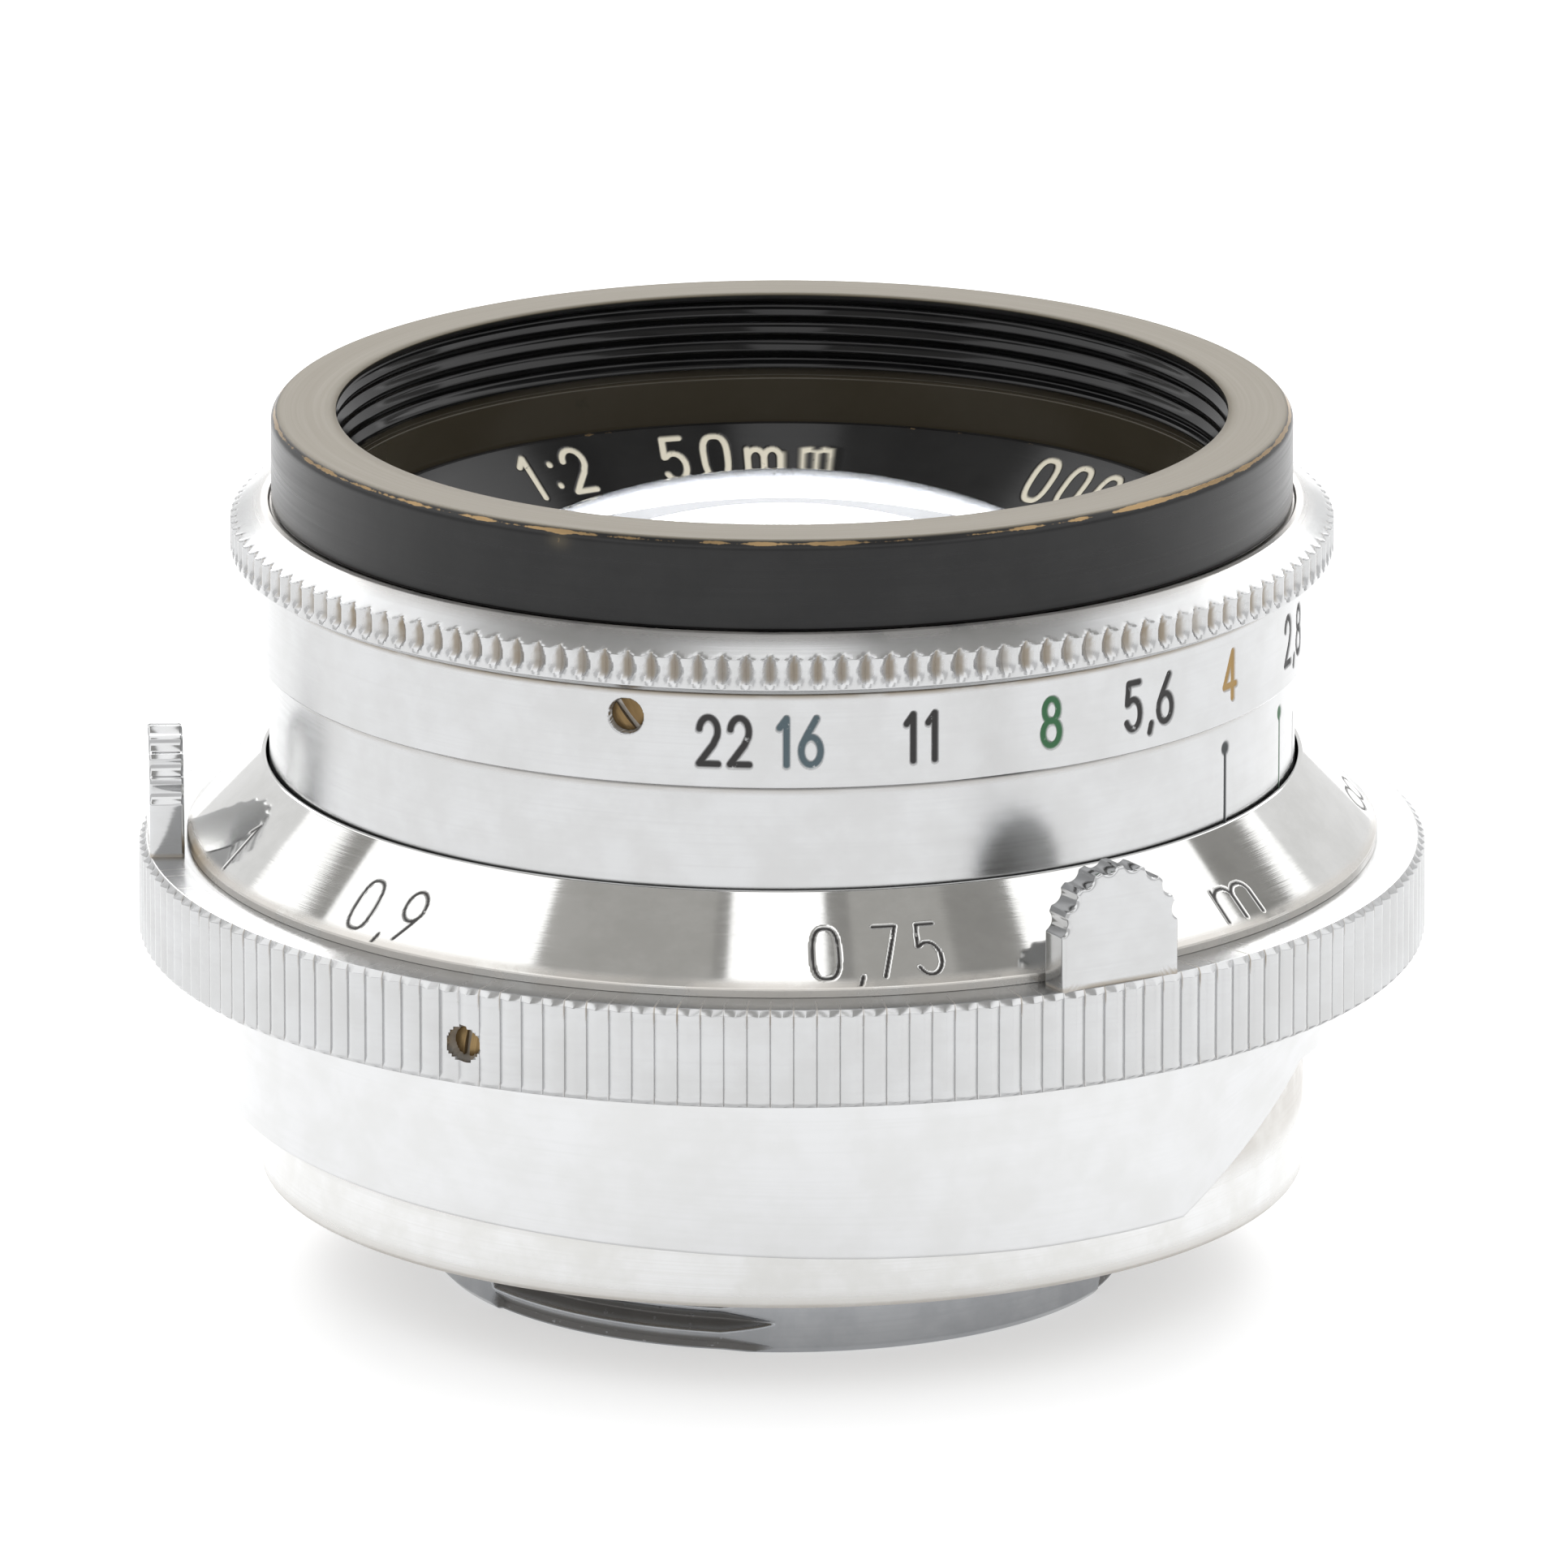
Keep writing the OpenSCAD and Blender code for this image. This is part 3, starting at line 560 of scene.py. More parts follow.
# focusing ring: flat teeth with narrow grooves
focusShape = dict(corners=[(22.32, 13.8, 0.03), (25.8, 13.8, 0.05), (26.0, 14.0, 0.03), (26.0, 17.55, 0.02),
                           (25.7, 17.8, 0.03), (22.62, 17.8, 0.04), (22.62, 17.2, 0.05), (20.9, 17.2, 0.05),
                           (20.9, 17.0, 0.05), (18.43, 17.0, 0.05), (18.43, 14.65, 0.05),
                           (22.32, 14.65, 0.05)],
                  teeth=176, groove=0.10, depth=0.02, sag=0.18, pits=(-29.1, 90.9, -149.1), pitZ=15.5,
                  pitR=0.66, pitDepth=0.62, radius=26.0)


def focusRing(s):
    pitch = 360.0 / s["teeth"]
    inTooth = np.array([-0.5, -0.45, -0.06, 0.06, 0.45])
    angles = ((np.arange(s["teeth"])[:, None] + inTooth[None]) * pitch).reshape(-1)
    angles = np.sort((angles + 180) % 360 - 180)

    # Flat chord across each tooth, with a narrow V groove between teeth.
    def toothCut(az):
        u = np.abs((az / pitch + 0.5) % 1 - 0.5)
        flat = s["radius"] * math.cos(math.radians(pitch / 2))
        chord = s["radius"] - flat / np.cos(np.radians(u * pitch))
        valley = s["depth"] * np.clip((u - 0.5 + s["groove"] / 2) / (s["groove"] / 2), 0, 1)
        return np.maximum(chord, 0) + valley + s["sag"] * np.clip((u - 0.06) / 0.44, 0, 1)

    def radiusOf(r, z, az):
        side = r > 25.4
        cutR = np.where(side, np.minimum(r, s["radius"] - toothCut(az)), r)
        return np.where(side, cutR - s["pitDepth"] * pitShare(r, z, az, s, s["radius"]), r)

    def extra(r, z, az):
        u = np.abs((az / pitch + 0.5) % 1 - 0.5)
        valley = smooth((u - 0.452) / 0.04) * (r > 25)
        rim = smooth((z - 16.9) / 0.5) + 0.4 * smooth((14.25 - z) / 0.3)
        noisy = np.clip(0.45 + 0.9 * waves(az, 4, 5, 3, 60), 0, 1)
        return {"dirt": np.clip(valley * (0.05 + 0.95 * rim) * noisy
                                + 0.8 * pitShare(r, z, az, s, s["radius"]) * (r < 25.9), 0, 1)}

    spans = [(p - 1.9, p + 1.9) for p in s["pits"]]
    keep = np.ones(len(angles), bool)
    for a, b in spans:
        keep &= ~((angles > a) & (angles < b))
    angles = np.unique(np.round(np.concatenate([angles[keep]] + [np.arange(a, b, 0.13) for a, b in spans]),
                                5))
    outer = lambda a, b: min(a[0], b[0]) > 25.9
    profile = roundedProfile(s["corners"], 1.5)
    profile = denser(profile, 14.6, 16.4, 0.13, outer)
    profile = denser(profile, 13.9, 17.7, 0.5, outer)
    mesh = latheMesh("focus_ring_knurled", profile, angles, radiusOf, extra)
    mesh.set_sharp_from_angle(angle=math.radians(24))
    addPiece("focus_ring_knurled", mesh, "focusing_ring", satin, ["focus_ring"])


focusRing(focusShape)


# distance ring: polished cone with fine numbers
coneShape = dict(corners=[(20.84, 17.25, 0.04), (22.58, 17.25, 0.04), (22.58, 17.8, 0.03),
                          (24.05, 17.8, 0.03),
                          (24.05, 18.15, 0.05), (20.98, 21.3, 0.06), (20.84, 21.3, 0.03)],
                 height=2.25, half=0.09, foot=0.46, depth=0.025, middle=22.6, ink=(0.006, 0.004, 0.003),
                 labels=[("0,75", 9.4), ("0,9", -43.0), ("1", -70.8), ("m", 51.2), ("1,2", -108.8),
                         ("1,5", -144.0),
                         ("2", -177.3), ("3", 151.2), ("5", 127.1), ("10", 109.7), ("~", 92.8)])


def distanceRing(s):
    slope = math.atan2(21.3 - 18.15, 24.05 - 20.98)
    onCone = lambda a, b: min(a[1], b[1]) > 18.16 and max(a[1], b[1]) < 21.29 and min(a[0], b[0]) > 20.99
    profile = denser(roundedProfile(s["corners"], 0.8), 18.2, 20.25, 0.055, onCone)
    footDistance = (profile[:, 1] - 18.15) / math.sin(slope)
    rowMask = (profile[:, 1] > 18.2) & (profile[:, 1] < 21.28) & (profile[:, 0] > 20.95)
    labels, spans = [], []
    for text, azimuth in s["labels"]:
        strokes, width = textStrokes(text, s["height"], 0.28, 1.15 if text in "m~" else 0.78)
        labels.append((azimuth, s["foot"], strokes, s["half"], s["ink"]))
        half = math.degrees((width / 2 + 0.25) / s["middle"])
        spans.append((azimuth - half, azimuth + half))
    spans = [(max(a, -179.99), min(b, 179.9)) for a, b in spans]
    angles = labelAngles(300, spans, 0.14)
    cut, tint = engrave(angles, footDistance, rowMask, labels, s["middle"])

    def reshape(r, z, az):
        return r - cut * s["depth"] * math.sin(slope)

    def extra(r, z, az):
        foot = smooth((18.55 - z) / 0.3) * (z > 17.7)
        grime = foot * (0.35 + 0.65 * smooth(1 - np.abs((az + 80) / 14)))
        return {"ink": cut, "tint": tint, "dirt": np.clip(grime, 0, 1)}

    mesh = latheMesh("distance_cone_polished", profile, angles, reshape, extra,
                     lambda r, z, az: z - cut * s["depth"] * math.cos(slope))
    addPiece("distance_cone_polished", mesh, "focusing_ring", bright, ["distance_ring"])


distanceRing(coneShape)


# focusing tabs: flat plates with fluted round tops
tabShape = dict(face=25.62, thick=1.4, half=2.70, foot=16.6, top=19.88, flutes=8, fluteR=0.5, fluteAt=2.98,
                bevel=0.14)


# The outline is the distance from a centre in each direction; the plate is made of outlines set inwards.
def focusTab(s, name, azimuth):
    count = 420
    turn = np.linspace(0, 2 * math.pi, count, endpoint=False) - math.pi / 2
    cosT, sinT = np.cos(turn), np.sin(turn)
    sideReach = s["half"] / np.maximum(np.abs(cosT), 1e-6)
    footReach = (s["top"] - s["foot"]) / np.maximum(-sinT, 1e-6)
    reach = np.where(sinT >= 0, s["half"], np.minimum(sideReach, footReach))
    for i in range(s["flutes"]):
        angle = math.pi * (i + 0.5) / s["flutes"]
        along = cosT * math.cos(angle) + sinT * math.sin(angle)
        off = s["fluteAt"] ** 2 * (1 - along ** 2)
        hit = s["fluteAt"] * along - np.sqrt(np.maximum(s["fluteR"] ** 2 - off, 0))
        reach = np.where((off < s["fluteR"] ** 2) & (along > 0), np.minimum(reach, hit), reach)
    rings, depth = [], []
    for share in (0.0, 0.2, 0.4, 0.5, 0.54, 0.57, 0.6, 0.63, 0.67, 0.72, 0.8, 0.9):
        rings.append(reach * share)
        depth.append(0.0)
    for k in range(5):
        t = k / 4 * math.pi / 2
        rings.append(reach - s["bevel"] * (1 - math.sin(t)))
        depth.append(s["bevel"] * (1 - math.cos(t)))
    rings = rings + rings[::-1]
    depth = depth + [s["thick"] - d for d in depth[::-1]]
    x = np.stack([ring * cosT for ring in rings])
    z = s["top"] + np.stack([ring * sinT for ring in rings])
    out = s["face"] - np.repeat(np.array(depth)[:, None], count, 1)
    a = math.radians(azimuth)
    points = np.stack([out * math.sin(a) + x * math.cos(a), -out * math.cos(a) + x * math.sin(a), z], -1)
    edge = np.minimum(np.array(depth), s["thick"] - np.array(depth))[:, None] > 0.02
    data = cleanData(x.shape)
    data.update({"along": z, "dirt": 0.7 * smooth((17.99 - z) / 0.12), "wear": 0.2 * edge + 0 * x,
                 "gloss": 0.7 * edge + 0 * x})
    mesh = mergePoles(gridMesh(name + "_fluted", points, False, True, data, flip=True))
    addPiece(name + "_fluted", mesh, "focusing_ring", satin, [name])


for tabName, tabAzimuth in (("focus_tab_left", -87.0), ("focus_tab_right", 31.5)):
    focusTab(tabShape, tabName, tabAzimuth)
print("stage: mount and focusing unit built")


# depth scale ring
blueGrey, green = (0.045, 0.072, 0.085), (0.010, 0.085, 0.025)
ochre, black = (0.28, 0.17, 0.045), (0.006, 0.005, 0.005)
depthShape = dict(corners=[(19.18, 17.2, 0.05), (20.70, 17.2, 0.05), (20.70, 25.45, 0.12),
                           (19.18, 25.45, 0.1)],
                  marks=[(58.7, (0.016, 0.020, 0.022), True), (74.6, green, True), (83.0, black, False),
                         (91.2, black, True),
                         (99.4, black, False), (107.8, green, True), (123.7, blueGrey, True)],
                  dotZ=24.28, dotR=0.25, stem=0.105, depth=0.04)


def depthRing(s):
    profile = denser(roundedProfile(s["corners"]), 17.6, 25.3, 0.07, lambda a, b: min(a[0], b[0]) > 20.69)
    rowMask = (profile[:, 0] > 20.65) & (profile[:, 1] > 17.4) & (profile[:, 1] < 25.3)
    labels, spans = [], []
    for azimuth, colour, dotted in s["marks"]:
        stem = [np.array([[0.0, -7.0], [0.0, 0.0 if dotted else -0.9]])]
        labels.append((azimuth, s["dotZ"], stem, s["stem"], colour))
        if dotted:
            labels.append((azimuth, s["dotZ"], [np.array([[0.0, 0.0], [0.0, 0.001]])], s["dotR"] * 1.3,
                           colour))
        spans.append((azimuth - 1.1, azimuth + 1.1))
    angles = labelAngles(420, spans, 0.1)
    cut, tint = engrave(angles, profile[:, 1], rowMask, labels, 20.7)
    mesh = latheMesh("depth_scale_turned", profile, angles, lambda r, z, az: r - cut * s["depth"],
                     lambda r, z, az: {"ink": cut, "tint": tint, "dirt": 0.3 * smooth((z - 25.1) / 0.3)})
    addPiece("depth_scale_turned", mesh, "lens_head", satin, ["depth_scale_ring"])


depthRing(depthShape)


# aperture ring: numbered band and V knurl
bandShape = dict(corners=[(19.95, 25.55, 0.05), (21.21, 25.55, 0.1), (21.21, 29.4, 0.06),
                          (19.95, 29.4, 0.03)],
                 foot=26.53, height=1.9, half=0.163, depth=0.06, pits=(-16.9, 103.1, -136.9), pitZ=28.3,
                 pitR=0.70, radius=21.21,
                 labels=[("22", -6.2, black), ("16", 1.9, blueGrey), ("11", 15.1, black),
                         ("8", 30.2, green),
                         ("5,6", 43.5, black), ("4", 57.4, ochre), ("2,8", 75.3, black),
                         ("2", 91.2, black)])


def apertureBand(s):
    outer = lambda a, b: min(a[0], b[0]) > 21.2
    profile = denser(roundedProfile(s["corners"]), 26.1, 29.1, 0.045, outer)
    rowMask = (profile[:, 0] > 21.18) & (profile[:, 1] > 25.9) & (profile[:, 1] < 29.3)
    labels, spans = [], []
    for text, azimuth, colour in s["labels"]:
        strokes, width = textStrokes(text, s["height"], 0.22, 0.72)
        labels.append((azimuth, s["foot"], strokes, s["half"], colour))
        half = math.degrees((width / 2 + 0.35) / s["radius"])
        spans.append((azimuth - half, azimuth + half))
    spans += [(p - 2.3, p + 2.3) for p in s["pits"]]
    angles = labelAngles(300, spans, 0.12)
    cut, tint = engrave(angles, profile[:, 1], rowMask, labels, s["radius"])

    def pitCut(r, z, az):
        return pitShare(r, z, az, s, s["radius"]) * (r > 20)

    mesh = latheMesh("aperture_band_engraved", profile, angles,
                     lambda r, z, az: r - cut * s["depth"] - 0.5 * pitCut(r, z, az) * (r > 21),
                     lambda r, z, az: {"ink": cut, "tint": tint, "dirt": (r > 20) * np.clip(
                         0.8 * smooth((z - 29.15) / 0.25) + 0.6 * pitCut(r, z, az) * (r < 21.1), 0, 1)})
    addPiece("aperture_band_engraved", mesh, "aperture_control", satin, ["aperture_ring"])


apertureBand(bandShape)

knurlShape = dict(corners=[(19.95, 29.4, 0.03), (21.0, 29.4, 0.02), (21.0, 29.6, 0.02), (21.78, 29.6, 0.02),
                           (22.23, 29.86, 0.03), (22.23, 31.08, 0.03), (20.97, 31.84, 0.04),
                           (20.70, 31.84, 0.02),
                           (20.64, 31.7, 0.02), (19.95, 31.7, 0.06)], count=146, depth=0.38)


# The radius is the smaller of the V grooves and the bevelled ends, so every ridge ends in a point.
def apertureKnurl(s):
    pitch = 360.0 / s["count"]
    inTooth = np.array([-0.5, -0.38, -0.28, -0.16, -0.04, 0.04, 0.16, 0.28, 0.38])
    spread = ((np.arange(s["count"])[:, None] + inTooth[None]) * pitch).reshape(-1)
    angles = np.sort((spread + 180) % 360 - 180)

    # A V that runs out towards the lower end, so each groove is pointed there too.
    def grooved(az, z):
        u = np.abs((az / pitch + 0.5) % 1 - 0.5) * 2
        runOut = np.clip((30.3 - z) / 0.42, 0, 1) + 0.3 * np.clip((z - 30.75) / 0.4, 0, 1)
        return 22.23 - s["depth"] * np.clip((u - 0.08) / 0.92 - runOut, 0, 1)

    profile = denser(roundedProfile(s["corners"]), 29.55, 31.6, 0.17, lambda a, b: max(a[0], b[0]) > 21.7)
    mesh = latheMesh("aperture_knurl_cut", profile, angles,
                     lambda r, z, az: np.where((r > 21.6) & (z > 29.59), np.minimum(r, grooved(az, z)), r),
                     lambda r, z, az: {"dirt": np.clip(smooth((22.05 - grooved(az, z)) / 0.05)
                                                      * (z > 29.62) * (z < 31.5)
                                                      * (np.abs(r - grooved(az, z)) < 0.004)
                                                      * (0.72 + 0.3 * waves(az, 7, 8, 3, 50))
                                                      + 0.6 * (r < 21.05) * (r > 20.5) * (z < 30)
                                                      + 0.35 * smooth((21.3 - r) / 0.5) * (z > 31.2), 0, 1),
                                       "gloss": 0.1 * (z > 31.12) * np.ones_like(az)})
    mesh.set_sharp_from_angle(angle=math.radians(28))
    addPiece("aperture_knurl_cut", mesh, "aperture_control", satin)


apertureKnurl(knurlShape)
print("stage: aperture ring built")


# front rim with its filter thread, and the name ring
rimShape = dict(corners=[(17.64, 27.1, 0.03), (18.25, 27.1, 0.03), (18.25, 31.82, 0.03),
                         (20.57, 31.82, 0.12),
                         (20.57, 35.2, 0.12), (20.3, 35.5, 0.12), (18.3, 35.5, 0.1), (18.05, 35.3, 0.05),
                         (17.95, 32.35, 0.03), (18.2, 32.3, 0.03), (18.2, 32.0, 0.03), (17.98, 31.95, 0.05),
                         (17.98, 29.35, 0.03), (17.64, 29.35, 0.03)],
                pitch=0.75, low=32.4, high=35.2, depth=0.30)


def frontRim(s):
    # Helical thread: the crest comes inwards by a rounded wave that climbs one pitch a turn.
    def threaded(r, z, az):
        phase = (z - 34.97 - s["pitch"] * az / 360) / s["pitch"]
        wave = np.abs(phase - np.round(phase)) * 2
        fade = smooth((z - s["low"]) / 0.25) * smooth((s["high"] + 0.1 - z) / 0.15)
        crest = np.clip(1 - wave * 1.15, 0, 1) ** 0.85
        bore = (r < 18.32) & (r > 17.9) & (z > 32.36)
        return np.where(bore, 17.95 + s["depth"] * fade * (1 - crest), r)

    bore = lambda a, b: max(a[0], b[0]) < 18.2 and min(a[0], b[0]) > 17.9
    profile = denser(roundedProfile(s["corners"]), 32.3, 35.3, 0.06, bore)
    profile = denser(profile, 34.9, 35.6, 0.07, lambda a, b: min(a[0], b[0]) > 18.2)

    def extra(r, z, az):
        outerEdge = np.exp(-(((r - 20.42) / 0.14) ** 2 + ((z - 35.36) / 0.14) ** 2))
        innerEdge = np.exp(-(((r - 18.15) / 0.12) ** 2 + ((z - 35.42) / 0.12) ** 2))
        patchy = 0.5 + 0.5 * waves(az, 11, 7, 2, 14)
        lowEdge = np.exp(-((z - 31.9) / 0.08) ** 2) * (r > 20.3)
        nick = np.exp(-(((az + 25.3) / 1.1) ** 2 + ((z - 35.0) / 0.3) ** 2)) * (r > 20.3)
        top = smooth((z - 35.42) / 0.06)
        tube = ((r < 18.3) & (z < 32.36)) * 1.0
        thread = ((r < 18.4) & (z >= 32.36) & (z < 35.2)) * 1.0
        return {"wear": (outerEdge * (0.40 + 0.50 * patchy) + innerEdge * 0.3 * patchy
                         + 0.3 * lowEdge * patchy + 0.5 * nick),
                "dirt": np.clip(top + 0.5 * nick + 0.45 * tube, 0, 1),
                "gloss": tube * 0.8 + thread * 0.85 + top * 0.2}

    mesh = latheMesh("front_rim_threaded", profile, evenAngles(540), threaded, extra)
    addPiece("front_rim_threaded", mesh, "lens_head", lacquer, ["front_rim"])


frontRim(rimShape)

nameShape = dict(corners=[(14.75, 27.75, 0.03), (16.95, 27.75, 0.03), (16.95, 29.35, 0.03),
                          (17.82, 29.35, 0.03),
                          (17.82, 30.15, 0.05), (17.6, 30.15, 0.05), (14.75, 27.85, 0.03)],
                 words=[("1:2", -145.5), ("50mm", -175.0), ("0001", 131.0)], height=2.1, half=0.15,
                 middle=16.2, foot=0.62,
                 cream=(0.62, 0.58, 0.47), depth=0.05)


def nameRing(s):
    slope = math.atan2(30.15 - 27.85, 17.6 - 14.75)
    onCone = lambda a, b: min(a[1], b[1]) > 27.86 and max(a[1], b[1]) < 30.14 and max(a[0], b[0]) < 17.6
    profile = denser(roundedProfile(s["corners"]), 27.9, 30.1, 0.06, onCone)
    fromTop = (30.15 - profile[:, 1]) / math.sin(slope)
    rowMask = (profile[:, 1] > 27.9) & (profile[:, 1] < 30.12) & (profile[:, 0] < 17.58)
    labels, spans = [], []
    for text, azimuth in s["words"]:
        strokes, width = textStrokes(text, s["height"], 0.34, 0.8)
        # read from the near side, so the word is turned half round on the far slope
        strokes = [line * [-1, -1] for line in strokes]
        labels.append((azimuth, s["foot"] + s["height"], strokes, s["half"], s["cream"]))
        half = math.degrees((width / 2 + 0.3) / s["middle"])
        spans.append((azimuth - half, azimuth + half))
    spans = [(max(a, -179.9), min(b, 179.9)) for a, b in spans]
    angles = labelAngles(360, spans, 0.16)
    cut, tint = engrave(angles, fromTop, rowMask, labels, s["middle"])
    mesh = latheMesh("name_ring_lettered", profile, angles, None,
                     lambda r, z, az: {"ink": cut, "tint": tint,
                                       "wear": 0.36 * np.exp(-((z - 30.12) / 0.08) ** 2),
                                       "gloss": 0.7 + 0 * az},
                     lambda r, z, az: z - cut * s["depth"])
    addPiece("name_ring_lettered", mesh, "lens_head", lacquer, ["name_ring"])


nameRing(nameShape)


# front element
glassShape = dict(semi=14.4, front=25.4, vertex=32.05, back=62.0, backVertex=27.7)


# Two spherical caps joined by a ground edge, each a fine fan of rings.
def frontElement(s):
    r = np.concatenate([np.linspace(0, s["semi"] - 0.12, 60), [s["semi"] - 0.04, s["semi"]]])
    top = s["vertex"] - s["front"] + np.sqrt(s["front"] ** 2 - r ** 2)
    top[-1] -= 0.05
    low = s["backVertex"] - s["back"] + np.sqrt(s["back"] ** 2 - r ** 2)
    radius = np.concatenate([r, r[::-1]])
    height = np.concatenate([top, low[::-1]])
    angles = evenAngles(240)
    points = place(radius[:, None], angles[None], height[:, None])
    mesh = mergePoles(gridMesh("front_element_polished", points, False, True, {}, flip=True))
    addPiece("front_element_polished", mesh, "lens_head", glass, ["front_element"])


frontElement(glassShape)
print("stage: head built")


# grub screws with driver slots
screwShape = dict(slot=0.12, depth=0.45)


# Across the screw the columns include both slot walls; down each column runs one closed loop.
def grubScrew(s, name, body, radius, inner, outer, azimuth, height, twist):
    walls = [-s["slot"], -s["slot"] + 0.001, s["slot"] - 0.001, s["slot"]]
    xs = np.sort(np.concatenate([-radius * np.cos(np.linspace(0, math.pi, 33)), walls]))
    rowsAcross = 25
    t = np.linspace(-1, 1, rowsAcross)
    half = np.sqrt(np.maximum(radius ** 2 - xs ** 2, 0))
    across = np.concatenate([t, t[::-1]])
    y = across[:, None] * half[None]
    face = outer - np.where(np.abs(xs) < s["slot"] - 0.0005, s["depth"], 0.0)
    dome = -0.10 * (xs[None] ** 2 + y ** 2) / radius ** 2
    out = np.where(np.arange(2 * rowsAcross)[:, None] < rowsAcross, face[None] + dome, inner + 0 * dome)
    x = np.repeat(xs[None], 2 * rowsAcross, 0)
    a, b = math.radians(azimuth), math.radians(twist)
    side, up = y * math.cos(b) - x * math.sin(b), y * math.sin(b) + x * math.cos(b)
    points = np.stack([out * math.sin(a) + side * math.cos(a), -out * math.cos(a) + side * math.sin(a),
                       height + up], -1)
    data = cleanData(x.shape)
    data.update({"along": x * 3, "dirt": 1.0 * (np.abs(x) < s["slot"])})
    mesh = mergePoles(gridMesh(name, points, True, False, data, flip=True))
    mesh.set_sharp_from_angle(angle=math.radians(30))
    return addPiece(name, mesh, body, brassLathe)


for i in range(3):
    screw = grubScrew(screwShape, "focus_grub_%d" % (i + 1), "focusing_ring", 0.62, 17.0, 25.5,
                      -29.1 + 120 * i, 15.5, 80 + 35 * i)
    if i == 0:
        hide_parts("focus_set_screws")
    screw = grubScrew(screwShape, "aperture_grub_%d" % (i + 1), "aperture_control", 0.66, 19.25, 20.95,
                      -16.9 + 120 * i, 28.3, -52 + 40 * i)
    if i == 0:
        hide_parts("aperture_set_screws")


# floor, light and camera
def flatCard(name, corners, strength, material=None):
    mesh = bpy.data.meshes.new(name)
    mesh.from_pydata(corners, [], [(0, 1, 2, 3)])
    if material is None:
        material, tree = makeTree(name)
        warm = (1, 1, 1, 1) if strength > 1 else (1, 0.985, 0.945, 1)
        glow = put(tree, "ShaderNodeEmission", {}, Color=warm, Strength=strength)
        put(tree, "ShaderNodeOutputMaterial", {}, Surface=glow.outputs[0])
    mesh.materials.append(material)
    card = bpy.data.objects.new(name, mesh)
    bpy.context.scene.collection.objects.link(card)
    return card


floorMaterial, floorTree = makeTree("floor_white")
floorCoord = put(floorTree, "ShaderNodeTexCoord").outputs["Object"]
floorNoise = noise(floorTree, put(floorTree, "ShaderNodeMapping", {}, Vector=floorCoord).outputs[0], 30.0)
floorColour = mixColour(floorTree, floorNoise, (0.47, 0.47, 0.47, 1), (0.49, 0.49, 0.49, 1))
floorShader = put(floorTree, "ShaderNodeBsdfPrincipled", {}, Base_Color=floorColour, Roughness=0.9,
                  Specular_IOR_Level=0.1, Emission_Color=(1, 1, 1, 1), Emission_Strength=0.53)
put(floorTree, "ShaderNodeOutputMaterial", {}, Surface=floorShader.outputs[0])
flatCard("floor", [(-4, -4, 0), (4, -4, 0), (4, 4, 0), (-4, 4, 0)], 1, floorMaterial)

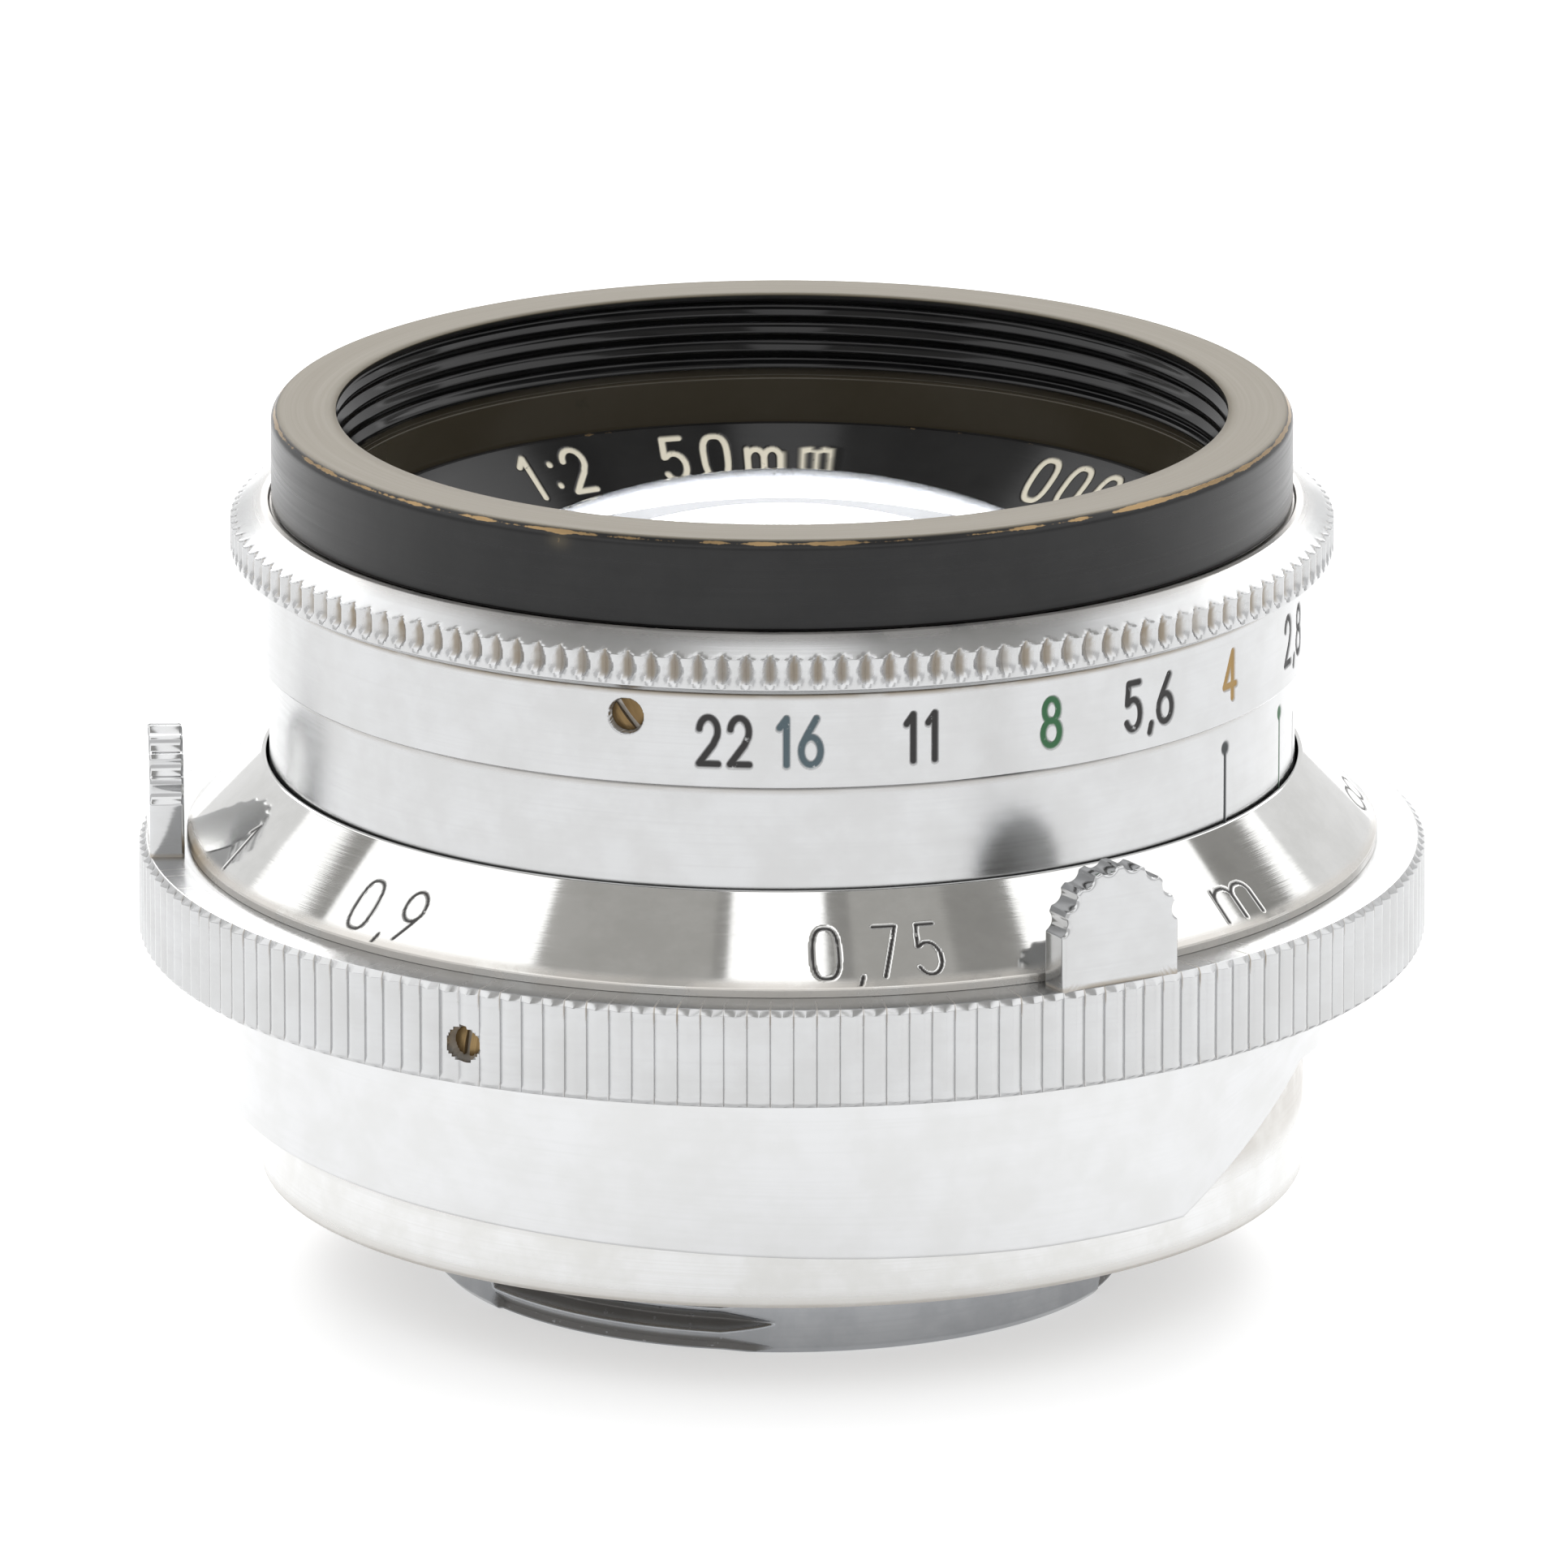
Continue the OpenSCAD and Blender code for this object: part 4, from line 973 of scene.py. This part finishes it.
cards = dict(
    ceiling=([(-1.6, -1.6, 1.0), (1.6, -1.6, 1.0), (1.6, 1.6, 1.0), (-1.6, 1.6, 1.0)], 1.8),
    topRight=([(0.054, -0.34, 0.5), (0.285, -0.34, 0.5), (0.285, 0.22, 0.5), (0.054, 0.22, 0.5)], 0.52),
    topRightNear=([(0.052, -0.34, 0.499), (0.082, -0.34, 0.499), (0.082, 0.22, 0.499),
                   (0.052, 0.22, 0.499)], 0.35),
    topRightFar=([(0.202, -0.34, 0.499), (0.287, -0.34, 0.499), (0.287, 0.22, 0.499), (0.202, 0.22, 0.499)],
                 0.36),
    topLeft=([(-0.287, -0.34, 0.5), (-0.064, -0.34, 0.5), (-0.064, 0.22, 0.5), (-0.287, 0.22, 0.5)], 0.52),
    topLeftNear=([(-0.080, -0.34, 0.499), (-0.062, -0.34, 0.499), (-0.062, 0.22, 0.499),
                  (-0.080, 0.22, 0.499)], 0.38),
    sideRight=([(0.55, 0.30, 0.5), (0.68, 0.30, 0.5), (0.74, 0.70, 0.5), (0.60, 0.70, 0.5)], 0.35),
    lowLeft=([(-0.0796, 0.0317, 0.0005), (-0.0739, 0.0411, 0.0005), (-0.085, 0.0511, 0.0005),
              (-0.0921, 0.0401, 0.0005)],
             0.35),
    lowRight=([(0.0587, -0.0728, 0.0005), (0.0656, -0.0661, 0.0005), (0.0772, -0.0757, 0.0005),
               (0.0691, -0.0836, 0.0005)],
              0.7),
    sideLeft=([(-0.62, 0.30, 0.5), (-0.53, 0.30, 0.5), (-0.60, 0.70, 0.5), (-0.70, 0.70, 0.5)], 0.4),
)
for cardName, (corners, level) in cards.items():
    card = flatCard(cardName, corners, level)
    card.visible_camera = False
    card.visible_diffuse = cardName == "ceiling"
    card.visible_shadow = False
    card.visible_transmission = False


def softbox(name, location, target, size, power):
    data = bpy.data.lights.new(name, "AREA")
    data.shape = "RECTANGLE"
    data.size, data.size_y = size
    data.energy = power
    lamp = bpy.data.objects.new(name, data)
    bpy.context.scene.collection.objects.link(lamp)
    lamp.location = location
    direction = np.array(target) - np.array(location)
    yaw = math.atan2(direction[1], direction[0]) - math.pi / 2
    lamp.rotation_euler = (math.acos(-direction[2] / np.linalg.norm(direction)), 0, yaw)
    return lamp


softbox("back_softbox", (0.0, 1.2, 1.02), (0, 0, 0.03), (1.6, 0.9), 34)

world = bpy.data.worlds.new("studio")
bpy.context.scene.world = world
world.use_nodes = True
world.node_tree.nodes["Background"].inputs[0].default_value = (1.0, 1.0, 1.0, 1)
world.node_tree.nodes["Background"].inputs[1].default_value = 1.0

cameraData = bpy.data.cameras.new("main_camera")
cameraData.sensor_width = 36
cameraData.lens = 511.3
cameraData.clip_start = 0.05
cameraData.clip_end = 20
camera = bpy.data.objects.new("main_camera", cameraData)
bpy.context.scene.collection.objects.link(camera)
camera.location = (0.00008, -0.8656, 0.2663)
camera.rotation_euler = (math.radians(74.1), 0, 0)
bpy.context.scene.camera = camera
bpy.context.scene.view_settings.view_transform = "Standard"
print("stage: stage built")
